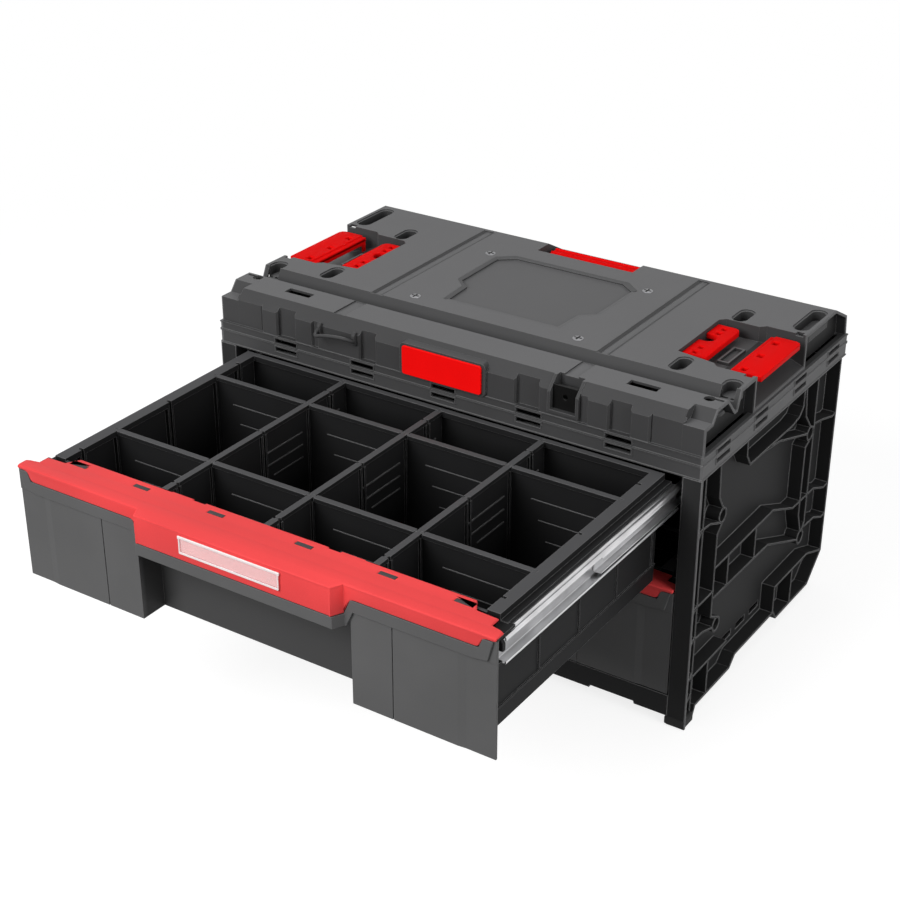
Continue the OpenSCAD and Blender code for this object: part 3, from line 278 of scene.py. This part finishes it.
# Groove slopes: the walls of the deck's two long grooves run out at a slant to the groove's
# floor. They are one moulding with the lid, in the same charcoal plastic.
def made(name, form, body, material):
    """The finished piece: welded, smooth round its curves, riding on its body."""
    bmesh.ops.remove_doubles(form, verts=form.verts, dist=0.000002)
    bmesh.ops.recalc_face_normals(form, faces=form.faces)
    mesh = bpy.data.meshes.new(name)
    form.to_mesh(mesh)
    form.free()
    mesh.polygons.foreach_set("use_smooth", [True] * len(mesh.polygons))
    mesh.set_sharp_from_angle(angle=math.radians(50))
    mesh.materials.append(material)
    piece = bpy.data.objects.new(name, mesh)
    bpy.context.collection.objects.link(piece)
    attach(piece, body)
    return piece


groove_depth, slope_wide = 0.0017, 0.0044
groove_floor = deck_z - groove_depth
screws_low, screws_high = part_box("deck_screws")
groove_ends = (screws_low.y - 0.0115, screws_high.y + 0.054)
form = bmesh.new()
for wall, toward in ((-0.144, 1), (-0.129, -1), (0.129, 1), (0.144, -1)):
    wedge = ((wall, deck_z), (wall, groove_floor), (wall + toward * slope_wide, groove_floor))
    skin(form, [[form.verts.new((x, y, z)) for x, z in wedge] for y in groove_ends])
made("groove_slopes", form, "cabinet", lid_charcoal)


# Panel slope: inside the left and rear edges of the deck's sunk panel the moulding runs down
# to the panel's floor. It is one moulding with the lid, and as dark as the collar.
MM = 0.001
panel_edge = [
    (-71, 103.9), (-73.5, 144), (-88, 157.6), (-89, 235.8), (-71, 250.8), (71, 250.8),
    (89, 235.8),
]
panel_mid, lip_wide, lip_share = 177.3, 5, 0.93
lip_top, lip_foot, lip_under = 0.04, 0.94, 1.1
form = bmesh.new()
rows = []
for x, y in panel_edge:
    x_in = x - math.copysign(lip_wide, x)
    y_in = panel_mid + lip_share * (y - panel_mid)
    section = ((x, y, lip_top), (x_in, y_in, lip_foot), (x_in, y_in, lip_under), (x, y, lip_under))
    rows.append([form.verts.new((u * MM, v * MM, deck_z - w * MM)) for u, v, w in section])
skin(form, rows)
made("badge_slope", form, "cabinet", collar_charcoal)


# Cable hook: a bail of round rod in the lid's charcoal plastic, moulded on two lugs on the
# lid's front.
def eased(points, radius):
    """The outline with each corner drawn in to a short curve."""
    out = []
    for i, corner in enumerate(points):
        corner = Vector(corner)
        before = Vector(points[i - 1]) - corner
        after = Vector(points[(i + 1) % len(points)]) - corner
        start = corner + before.normalized() * min(radius, before.length * 0.45)
        end = corner + after.normalized() * min(radius, after.length * 0.45)
        for t in (0.0, 0.33, 0.67, 1.0):
            out.append(start.lerp(corner, t).lerp(corner.lerp(end, t), t))
    return out


def plate(form, outline, low, high, soft, place, holes=()):
    """A sheet from low to high with edges rounded by soft, put in the object by place(u, v, w)."""
    curve = bpy.data.curves.new("plate", "CURVE")
    curve.dimensions = "2D"
    curve.fill_mode = "BOTH"
    for points in (outline, *holes):
        spline = curve.splines.new("POLY")
        spline.points.add(len(points) - 1)
        for point, (u, v) in zip(spline.points, points):
            point.co = (u, v, 0, 1)
        spline.use_cyclic_u = True
    curve.extrude = (high - low) / 2 - soft
    curve.bevel_depth = soft
    curve.bevel_resolution = 2
    curve.offset = -soft
    holder = bpy.data.objects.new("plate", curve)
    mesh = bpy.data.meshes.new_from_object(holder)
    for vertex in mesh.vertices:
        u, v, w = vertex.co
        vertex.co = place(u, v, w + (low + high) / 2)
    form.from_mesh(mesh)
    bpy.data.objects.remove(holder)
    bpy.data.curves.remove(curve)
    bpy.data.meshes.remove(mesh)


low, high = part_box("cable_hook")
hook_x, root_y = (low.x + high.x) / 2, high.y
reach = low.y - root_y
rod = bpy.data.curves.new("cable_bail", "CURVE")
rod.dimensions = "3D"
rod.bevel_depth = 0.0019
rod.bevel_resolution = 4
rod.resolution_u = 10
rod.use_fill_caps = True
bail = rod.splines.new("BEZIER")
bail_points = [
    (-22, 0.05, 331), (-23, 0.4, 327), (-19.5, 0.8, 325.5), (-12, 0.87, 327.5), (12, 0.87, 331),
    (19, 0.8, 330.5), (23, 0.42, 327), (22, 0.05, 325),
]
bail.bezier_points.add(len(bail_points) - 1)
for point, (x, share, z) in zip(bail.bezier_points, bail_points):
    point.co = (hook_x + x * MM, root_y + reach * share, z * MM)
    point.handle_left_type = point.handle_right_type = "AUTO"
rod.materials.append(lid_charcoal)
cable_bail = bpy.data.objects.new("cable_bail", rod)
bpy.context.collection.objects.link(cable_bail)
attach(cable_bail, "cabinet")
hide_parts("cable_hook")

lug_off, lug_half = 22, 2
lug = eased([(-0.5, 321), (4.5, 321), (4.5, 333), (-0.5, 336)], 2)
form = bmesh.new()
for mirror in (-1, 1):

    def lug_at(u, v, w):
        return hook_x + (mirror * lug_off + w) * MM, root_y - u * MM, v * MM

    plate(form, lug, -lug_half, lug_half, 0.7, lug_at)
made("cable_lugs", form, "cabinet", lid_charcoal)


# Screws: four with broad heads in the deck, eight in the tubes of the side panels. Zinc
# plated steel with a cross recess; the recess's shade is painted, as a near-black metal cross laid
# in each deck screw's head.
def metal(name, colour, rough, stretch, contrast=0.8, bump=0.15):
    """Plated steel: fine cloud along the direction of rolling, slight change of polish."""
    material, sock, shader = new_material(name)
    place = sock.node("ShaderNodeTexCoord", out="Object")
    drawn = sock.node("ShaderNodeMapping", Vector=place, Scale=stretch)
    lines = sock.node("ShaderNodeTexNoise", Vector=drawn, Scale=1.0, Detail=3.0, Roughness=0.6)
    cloud = sock.node("ShaderNodeTexNoise", Vector=place, Scale=30.0, Detail=2.0)
    tone = (lines * 0.4 + cloud * 0.6).above(0.3, 0.7)
    relief = sock.node("ShaderNodeBump", Strength=bump, Distance=0.00005, Height=lines)
    feed(shader, "Base Color", tone.mix(shade_of(colour, contrast), colour))
    feed(shader, "Roughness", rough + (lines - 0.5) * 0.15)
    feed(shader, "Metallic", 1.0)
    feed(shader, "Normal", relief)
    return material


fine = (900.0, 900.0, 900.0)
screw_steel = metal("screw_steel", (0.3, 0.3, 0.31, 1), 0.35, fine)
# Painted shade: this near-black metal stands for the shade inside the cross recess.
painted_recess_shade = metal("painted_recess_shade", (0.02, 0.02, 0.02, 1), 0.6, fine)
finish_with(screw_steel, "case_screws")
turns = 32
circle = [(math.cos(i * math.tau / turns), math.sin(i * math.tau / turns)) for i in range(turns)]
head_rings = ((5.8, -0.2), (5.7, 0.3), (5.0, 0.65), (3.6, 0.85), (1.8, 0.92))
arm, half = 4.2, 0.95
cross = [
    (half, half), (arm, half), (arm, -half), (half, -half), (half, -arm), (-half, -arm),
    (-half, -half), (-arm, -half), (-arm, half), (-half, half), (-half, arm), (half, arm),
]
solid_radius = 0.00425
heads, crosses = bmesh.new(), bmesh.new()
for x in (screws_low.x + solid_radius, screws_high.x - solid_radius):
    for y in (screws_low.y + solid_radius, screws_high.y - solid_radius):

        def head_at(u, v, w):
            return x + u * MM, y + v * MM, deck_z + w * MM

        skin(heads, [
            [heads.verts.new(head_at(radius * u, radius * v, up)) for u, v in circle]
            for radius, up in head_rings
        ])
        plate(crosses, cross, 0.4, 1.0, 0.1, head_at)
screw_heads = made("deck_screw_heads", heads, "cabinet", screw_steel)
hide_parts("deck_screws")
made("deck_screw_crosses", crosses, "cabinet", painted_recess_shade)


# Name plate and rear hook: bright red ABS with a satin surface. The plate is pressed into
# its boss, the hook slides under the deck's rear edge, and the lock's black plate lies beside.
def soften(width, *names):
    """Rounds the edges of moulded CAD nodes by modifiers alone."""
    for name in names:
        weld = frame["nodes"][name].modifiers.new("weld", "WELD")
        weld.merge_threshold = 0.00001
        planar = frame["nodes"][name].modifiers.new("planar", "DECIMATE")
        planar.decimate_type = "DISSOLVE"
        planar.angle_limit = math.radians(0.5)
        bevel = frame["nodes"][name].modifiers.new("edge", "BEVEL")
        bevel.width = width
        bevel.segments = 2
        bevel.limit_method = "ANGLE"
        bevel.angle_limit = math.radians(35)
        bevel.miter_outer = "MITER_ARC"
        bevel.harden_normals = True


latch_red = moulded(
    "latch_red", (0.76, 0.004, 0.004, 1), (0.8, 0.02, 0.02, 1), 0.5, 0.02, 0.00005
)
plate_red = moulded(
    "plate_red", (0.94, 0.004, 0.004, 1), (0.95, 0.03, 0.03, 1), 0.45, 0.05, 0.00003
)
lock_black = moulded("lock_black", (0.006, 0.006, 0.006, 1), (0.12, 0.12, 0.12, 1), 0.35, 0.12)
finish_with(latch_red, "rear_hook")
finish_with(plate_red, "name_plate")
finish_with(lock_black, "lock_plate")
soften(0.0007, "name_plate", "rear_hook")
soften(0.0006, "lock_plate")


# Latches: in each hand recess a slider with a thumb notch on two legs, and a pull button
# whose inner edge turns down. Red ABS, snapped in, with small windows right through.
def oblong(left, low, right, high):
    return [(left, low), (right, low), (right, high), (left, high)]


def slots_at(places, wide, long):
    return [
        oblong(x - wide / 2, y - long / 2, x + wide / 2, y + long / 2) for x, y in places
    ]


thick, corner_soft = 6, 0.8
for side, mirror in SIDES:
    for kind in ("slider", "button"):
        latch = f"latch_{kind}_{side}"
        low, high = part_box(latch)
        inner_x = min(abs(low.x), abs(high.x))
        wide, long, tall = ((high[i] - low[i]) / MM for i in range(3))

        def flat_at(u, v, w):
            return mirror * (inner_x + u * MM), low.y + v * MM, high.z + w * MM

        def upright_at(u, v, w):
            return mirror * (inner_x + w * MM), low.y + u * MM, low.z + v * MM

        chamfer = [(wide, 0), (wide, long - 6), (wide - 2, long - 2), (wide - 6, long)]
        form = bmesh.new()
        if kind == "slider":
            notch = [(0, 55), (8, 55), (13, 52), (15, 46), (13, 40), (9, 37), (0, 37)]
            outline = [(0, 0), *chamfer, (0, long), *notch]
            holes = slots_at([(11, share * long) for share in (0.09, 0.25, 0.74, 0.89)], 5.6, 6.6)
            plate(form, outline, -thick, 0, corner_soft, flat_at, holes)
            for v in (0, long - thick):
                leg = eased(oblong(v, 0, v + thick, tall - 5), 0.6)
                plate(form, leg, wide / 2, wide / 2 + thick, 0.6, upright_at)
        else:
            outline = [(5, 0), *chamfer, (5, long)]
            holes = slots_at([(12.2, share * long) for share in (0.08, 0.46, 0.83)], 6.6, 8.1)
            plate(form, outline, -thick, 0, corner_soft, flat_at, holes)
            plate(form, oblong(0, 0, thick, long), -thick, -1.6, corner_soft, flat_at)
            drop, near, far = tall - 9.5, 0.6, long - 0.6
            skirt = [
                (near, 0), (near + thick, 0), (near + thick, drop), (far - thick, drop),
                (far - thick, 0), (far, 0), (far, tall - 3), (near, tall - 3),
            ]
            plate(form, skirt, 0, 2, 0.5, upright_at)
        grip = made(f"{latch}_grip", form, latch, latch_red)
        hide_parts(latch)


# Trays and dividers: black polypropylene, smoother than the case. The dividers drop into
# the rim's notches, and their caps lie level with it.
LEVELS = ("lower", "upper")
# Painted light from above: the rim and the divider caps, at the height of the tray's rim, are
# painted 5.6 times lighter.
tray_black = moulded(
    "tray_black", (0.013, 0.013, 0.0135, 1), (0.2, 0.2, 0.202, 1), 0.55, 0.06, 0.00008, top_light=5.6,
    shelves=[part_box(f"{level}_tray")[1].z for level in LEVELS],
)
for level in LEVELS:
    for part in ("tray", "long_dividers", "front_dividers", "rear_dividers"):
        finish_with(tray_black, f"{level}_{part}")


# Ribs on the long dividers: thin bars moulded on the face of each compartment's left side,
# shorter from one to the next.
rib_half, first_rib, rib_step = 0.9, 0.027, 0.014
for level in LEVELS:
    low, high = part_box(f"{level}_long_dividers")
    rear_low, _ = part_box(f"{level}_rear_dividers")
    outer_x = high.x - 0.0032
    form = bmesh.new()
    for x in (-outer_x, 0.0, outer_x):
        face = x + 0.0013
        for y_end, room in ((rear_low.y - 0.009, 66), (high.y - 0.012, 30)):
            for i, share in enumerate((1.0, 0.86, 0.72)):
                z = high.z - (first_rib + rib_step * i)

                def rib_at(u, v, w):
                    return face + w * MM, y_end + u * MM, z + v * MM

                rib = eased(oblong(-room * share, -rib_half, 0, rib_half), 0.6)
                plate(form, rib, -0.3, 1.1, 0.3, rib_at)
    # Painted highlight: the ribs take the case's lighter finish, with its wider painted edge
    # highlight, in place of the tray's own.
    made(f"{level}_divider_ribs", form, f"{level}_drawer", case_black)


# Drawer fronts and handles: charcoal front, coral red cap over its upper edge, snapped on.
# The cap is a moulding with soft edges: a plate with windows, and a band down its front.
def both_sides(points):
    return points + [(-x, y) for x, y in reversed(points)]


# Painted shade: behind a y 14 mm back from the front of its handle, each front's recess is painted
# half as light, as the handle's shade. The two levels' finishes differ only there.
front_charcoal = {
    level: moulded(
        f"{level}_front_charcoal", (0.105, 0.105, 0.106, 1), (0.17, 0.17, 0.172, 1), 0.5, 0.1,
        recess_shade_y=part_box(f"{level}_handle")[0].y + 0.014,
    )
    for level in LEVELS
}
handle_red = moulded(
    "handle_red", (0.82, 0.068, 0.07, 1), (0.88, 0.1, 0.1, 1), 0.5, 0.08, 0.00006
)
low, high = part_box("upper_handle")
cap_half = (high.x - low.x) / 2 / MM
cap_out, cap_sheet, cap_soft = 11, 2.8, 1.35
band_top, band_foot, wing_foot = -0.4, -29.5, -14
middle, wing = 110, 115.5
cap_plan = both_sides([
    (69.4, 42), (69.4, 40), (83.4, 40), (83.4, 42), (109, 42), (110, 41), (223, 41), (231, 28),
    (252.8, 27), (252.8, 16), (262.8, 14), (cap_half, 12), (cap_half, 2), (cap_half - 2, 0),
    (wing, 0), (middle, -cap_out),
])
wing_band = eased([
    (wing - 1, band_foot), (wing + 7, wing_foot), (cap_half - 16.5, wing_foot),
    (cap_half - 12.5, -4), (cap_half, -4), (cap_half, band_top), (wing - 1, band_top),
], 4)
window_places = [
    (mirror * share * cap_half, 32.3) for share in (0.186, 0.52, 0.81) for mirror in (-1, 1)
]
windows = slots_at(window_places, 18, 5.4)
for level in LEVELS:
    finish_with(front_charcoal[level], f"{level}_front")
    low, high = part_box(f"{level}_handle")
    wing_y, top_z = low.y + cap_out * MM, high.z

    def over(u, v, w):
        return u * MM, wing_y + v * MM, top_z + w * MM

    def before(u, v, w):
        return over(u, w, v)

    form = bmesh.new()
    plate(form, cap_plan, -cap_sheet, 0, cap_soft, over, windows)
    centre_band = oblong(-middle, band_foot, middle, band_top)
    plate(form, centre_band, -cap_out, cap_sheet - cap_out, cap_soft, before)
    along = Vector((wing - middle, cap_out))
    step = along.normalized()
    slant = oblong(-0.8, band_foot, along.length + 1, band_top)
    for _, mirror in SIDES:

        def slanted(u, v, w):
            x = middle + step.x * u - step.y * w
            return over(mirror * x, -cap_out + step.y * u + step.x * w, v)

        plate(form, slant, 0, cap_sheet, cap_soft, slanted)
        plate(form, [(mirror * x, z) for x, z in wing_band], 0, cap_sheet, cap_soft, before)
    tabs = bmesh.new()
    for tab in slots_at(window_places, 17.4, 4.8):
        plate(tabs, tab, -2.4, -0.3, 0.3, over)
    made(f"{level}_cap_tabs", tabs, f"{level}_drawer", front_charcoal[level])
    cap = made(f"{level}_cap", form, f"{level}_drawer", handle_red)
    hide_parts(f"{level}_handle")


# Label windows: a card behind a clear flap on a hinge bar. The flap has a raised border
# and a small tab to lift it by, and snaps shut on the cap's front.
card, card_sock, card_shader = new_material("label_card")
place = card_sock.node("ShaderNodeTexCoord", out="Object")
paper = card_sock.node("ShaderNodeTexNoise", Vector=place, Scale=700.0, Detail=4.0)
paper_tone = paper.above(0.3, 0.7).mix((0.9, 0.44, 0.44, 1), (0.95, 0.5, 0.5, 1))
feed(card_shader, "Base Color", paper_tone)
feed(card_shader, "Roughness", 0.8)
feed(card_shader, "Specular IOR Level", 0.1)


def glassy(name, colour, low, high):
    """Clear plastic with a slight haze, which hides from low to high of what lies behind."""
    material, sock, shader = new_material(name)
    place = sock.node("ShaderNodeTexCoord", out="Object")
    haze = sock.node("ShaderNodeTexNoise", Vector=place, Scale=60.0, Detail=3.0)
    feed(shader, "Base Color", haze.mix(colour, shade_of(colour, 0.96)))
    feed(shader, "Roughness", 0.15 + haze * 0.1)
    feed(shader, "Alpha", low + haze * (high - low))
    feed(shader, "Specular IOR Level", 0.3)
    return material


clear = glassy("clear_cover", (1.0, 0.9, 0.9, 1), 0.15, 0.25)
clear_edge = glassy("clear_edge", (1.0, 0.93, 0.93, 1), 0.72, 0.86)
for level in LEVELS:
    finish_with(card, f"{level}_label_card")
    low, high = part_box(f"{level}_label_cover")
    half, tall = (high.x - low.x) / 2 / MM, (high.z - low.z) / MM
    flap_front, flap_top = low.y, high.z

    def flap_at(u, v, w):
        return u * MM, flap_front + w * MM, flap_top + v * MM

    form = bmesh.new()
    pane = oblong(2.2 - half, 2 - tall, half - 2.2, -2.4)
    plate(form, pane, 0.5, 1.0, 0.2, flap_at)
    flap = made(f"{level}_flap", form, f"{level}_label_cover", clear)
    form = bmesh.new()
    border = eased(oblong(1 - half, -tall, half - 1, -1.2), 1)
    plate(form, border, 0.1, 1.2, 0.25, flap_at, [pane])
    hinge = eased([
        (-half, -3.2), (3 - half, -3.2), (4 - half, -1.8), (half - 4, -1.8), (half - 3, -3.2),
        (half, -3.2), (half, 0), (-half, 0),
    ], 0.8)
    plate(form, hinge, 0, 1.6, 0.6, flap_at)
    lift_tab = eased([(-10, -tall), (10, -tall), (9, 2.4 - tall), (-9, 2.4 - tall)], 0.6)
    plate(form, lift_tab, 0, 1.2, 0.4, flap_at)
    for x in (-38, -33, 33, 38):
        catch = eased(oblong(x - 1, -tall, x + 1, 2 - tall), 0.5)
        plate(form, catch, 0, 1.2, 0.3, flap_at)
    made(f"{level}_flap_border", form, f"{level}_label_cover", clear_edge)
    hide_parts(f"{level}_label_cover")


# Slides: three nested channels of bright zinc-plated steel, roll-formed along Y with round
# corners, running on balls that a strip keeps apart. A black stop closes the drawer's channel.
def rolled(form, line, steel, start, end):
    """A strip of steel bent along line, its x and z, and run out from start to end along y."""
    sides = []
    for i, point in enumerate(line):
        way = (line[min(i + 1, len(line) - 1)] - line[max(i - 1, 0)]).normalized()
        across = Vector((-way.y, way.x)) * steel / 2
        sides.append((point + across, point - across))
    loop = [s[0] for s in sides] + [s[1] for s in reversed(sides)]
    skin(form, [[form.verts.new((x, y, z)) for x, z in loop] for y in (start, end)])


def open_eased(points, radius):
    """As eased, with both ends of the line kept."""
    return [Vector(points[0])] + eased(points, radius)[4:-4] + [Vector(points[-1])]


slide_zinc = metal("slide_zinc", (0.72, 0.72, 0.73, 1), 0.3, (160.0, 1.0, 160.0), 0.7, 0.02)
ball_steel = metal("ball_steel", (0.5, 0.5, 0.51, 1), 0.2, (300.0, 300.0, 300.0))
steel = 1.2 * MM
for level in LEVELS:
    for side, mirror in SIDES:
        finish_with(ball_steel, f"{level}_ball_cage_{side}")
        for kind, body, lip, bend in (
            ("outer", f"{level}_drawer", 3.0, 2.2),
            ("middle", f"{level}_slides", 1.6, 1.8),
            ("inner", "cabinet", 0.0, 1.2),
        ):
            node = f"{level}_{kind}_slide_{side}"
            low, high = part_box(node)
            web, rim = sorted((mirror * low.x, mirror * high.x), reverse=kind == "inner")
            out = 1 if rim > web else -1
            web, rim = web + out * steel / 2, rim - out * steel / 2 * (lip > 0)
            mid_z, tall = (low.z + high.z) / 2, (high.z - low.z - steel) / 2
            bends = [(rim, tall), (web, tall), (web, -tall), (rim, -tall)]
            if lip:
                bends = [(rim, tall - lip * MM), *bends, (rim, lip * MM - tall)]
            if kind == "outer":
                ball_track = ((8.6, 0), (8, 1.3), (6.2, 1.3), (5.6, 0))
                bends[2:2] = [(web + out * t * MM, tall - sunk * MM) for t, sunk in ball_track]
            line = [Vector((mirror * x, mid_z + z)) for x, z in bends]
            form = bmesh.new()
            rolled(form, open_eased(line, bend * MM), steel, low.y, high.y)
            rail = made(f"{node}_rail", form, body, slide_zinc)
            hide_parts(node)
        low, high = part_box(f"{level}_outer_slide_{side}")
        near, far = sorted((mirror * low.x / MM, mirror * high.x / MM))
        near, far = near + 1, far - 0.4
        stop = eased([(near, 1), (far, 1), (far, 9), (far - 2.6, 12.4), (near, 12.4)], 1.5)

        def stop_at(u, v, w):
            return mirror * u * MM, low.y + w * MM, (low.z + high.z) / 2 + v * MM

        form = bmesh.new()
        plate(form, stop, -4, -0.2, 0.6, stop_at)
        made(f"{level}_slide_stop_{side}", form, f"{level}_drawer", case_black)


# Studio floor: white, and it keeps the object's soft shadow. Away from the object it fades
# to plain white, as far as the camera, metal and glass see it.
def seen(sock):
    """1 for what the camera sees, straight or in metal and glass, and 0 for soft light."""
    camera_ray, glossy, through = (
        sock.node("ShaderNodeLightPath", out=name)
        for name in ("Is Camera Ray", "Is Glossy Ray", "Is Transmission Ray")
    )
    return camera_ray.math("MAXIMUM", glossy).math("MAXIMUM", through)


floor_half, floor_gap = 15.0, 0.0005
floor_mesh = bpy.data.meshes.new("studio_floor")
floor_corners = oblong(-floor_half, -floor_half, floor_half, floor_half)
floor_mesh.from_pydata([(x, y, 0) for x, y in floor_corners], [], [(0, 1, 2, 3)])
studio_floor = bpy.data.objects.new("studio_floor", floor_mesh)
bpy.context.collection.objects.link(studio_floor)
studio_floor.location.z = -floor_gap

WHITE = (1, 1, 1, 1)
floor_white, floor_sock, floor_shader = new_material("floor_white")
feed(floor_shader, "Base Color", (0.15, 0.15, 0.15, 1))
feed(floor_shader, "Roughness", 0.95)
feed(floor_shader, "Specular IOR Level", 0.0)
shaded = floor_sock.node("ShaderNodeBsdfDiffuse", Color=(0.36, 0.36, 0.36, 1))
glow = floor_sock.node("ShaderNodeEmission", Color=WHITE, Strength=0.8)
near = floor_sock.node("ShaderNodeAddShader", i0=shaded, i1=glow)
far = floor_sock.node("ShaderNodeEmission", Color=WHITE, Strength=1.0)
place = floor_sock.node("ShaderNodeTexCoord", out="Object")
away = floor_sock.node("ShaderNodeVectorMath", {"operation": "LENGTH"}, out="Value", i0=place)
shown = floor_sock.node("ShaderNodeMixShader", i0=away.above(0.6, 1.6), i1=near, i2=far)
plain = Sock(floor_sock.tree, floor_shader.outputs[0])
both = floor_sock.node("ShaderNodeMixShader", i0=seen(floor_sock), i1=plain, i2=shown)
feed(floor_sock.tree.nodes["Material Output"], "Surface", both)
floor_mesh.materials.append(floor_white)


# Studio light: an even pale sky that shows as white, and three soft square lamps, a strong
# one from the front left, one from the right and a weak one overhead.
def lamp(name, place, size, power):
    light = bpy.data.lights.new(name, "AREA")
    light.shape = "SQUARE"
    light.size = size
    light.energy = power
    holder = bpy.data.objects.new(name, light)
    bpy.context.collection.objects.link(holder)
    holder.location = place
    toward = Vector((0, 0, 0.2)) - Vector(place)
    holder.rotation_euler = toward.to_track_quat("-Z", "Y").to_euler()


lamp("overhead", (0.2, 0.2, 2.8), 2.4, 14)
lamp("right", (2.6, -0.4, 1.2), 1.6, 36)
lamp("front", (-0.9, -2.45, 1.8), 1.8, 84)
world = bpy.data.worlds.new("studio")
bpy.context.scene.world = world
world.use_nodes = True
sky_sock = Sock(world.node_tree)
ambient = sky_sock.node("ShaderNodeBackground", Color=WHITE, Strength=0.2)
white = sky_sock.node("ShaderNodeBackground", Color=WHITE, Strength=1.0)
sky = sky_sock.node("ShaderNodeMixShader", i0=seen(sky_sock), i1=ambient, i2=white)
feed(world.node_tree.nodes["World Output"], "Surface", sky)


# Camera: the place, direction and lens at which the case's straight edges fall as they do
# in the picture.
front_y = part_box("collar_frame")[0].y
azimuth, elevation, distance = math.radians(33.614), math.radians(27.609), 1.936843
target = Vector((-0.05774, 0.1 + front_y, 0.17121))
back = Vector((
    math.sin(azimuth) * math.cos(elevation),
    -math.cos(azimuth) * math.cos(elevation),
    math.sin(elevation),
))
camera = bpy.data.objects.new("camera", bpy.data.cameras.new("camera"))
bpy.context.collection.objects.link(camera)
camera.location = target + back * distance
camera.rotation_euler = (-back).to_track_quat("-Z", "Y").to_euler()
camera.data.sensor_width = 36
camera.data.lens = 71.275
camera.data.clip_end = 100
bpy.context.scene.camera = camera
bpy.context.scene.view_settings.view_transform = "Standard"
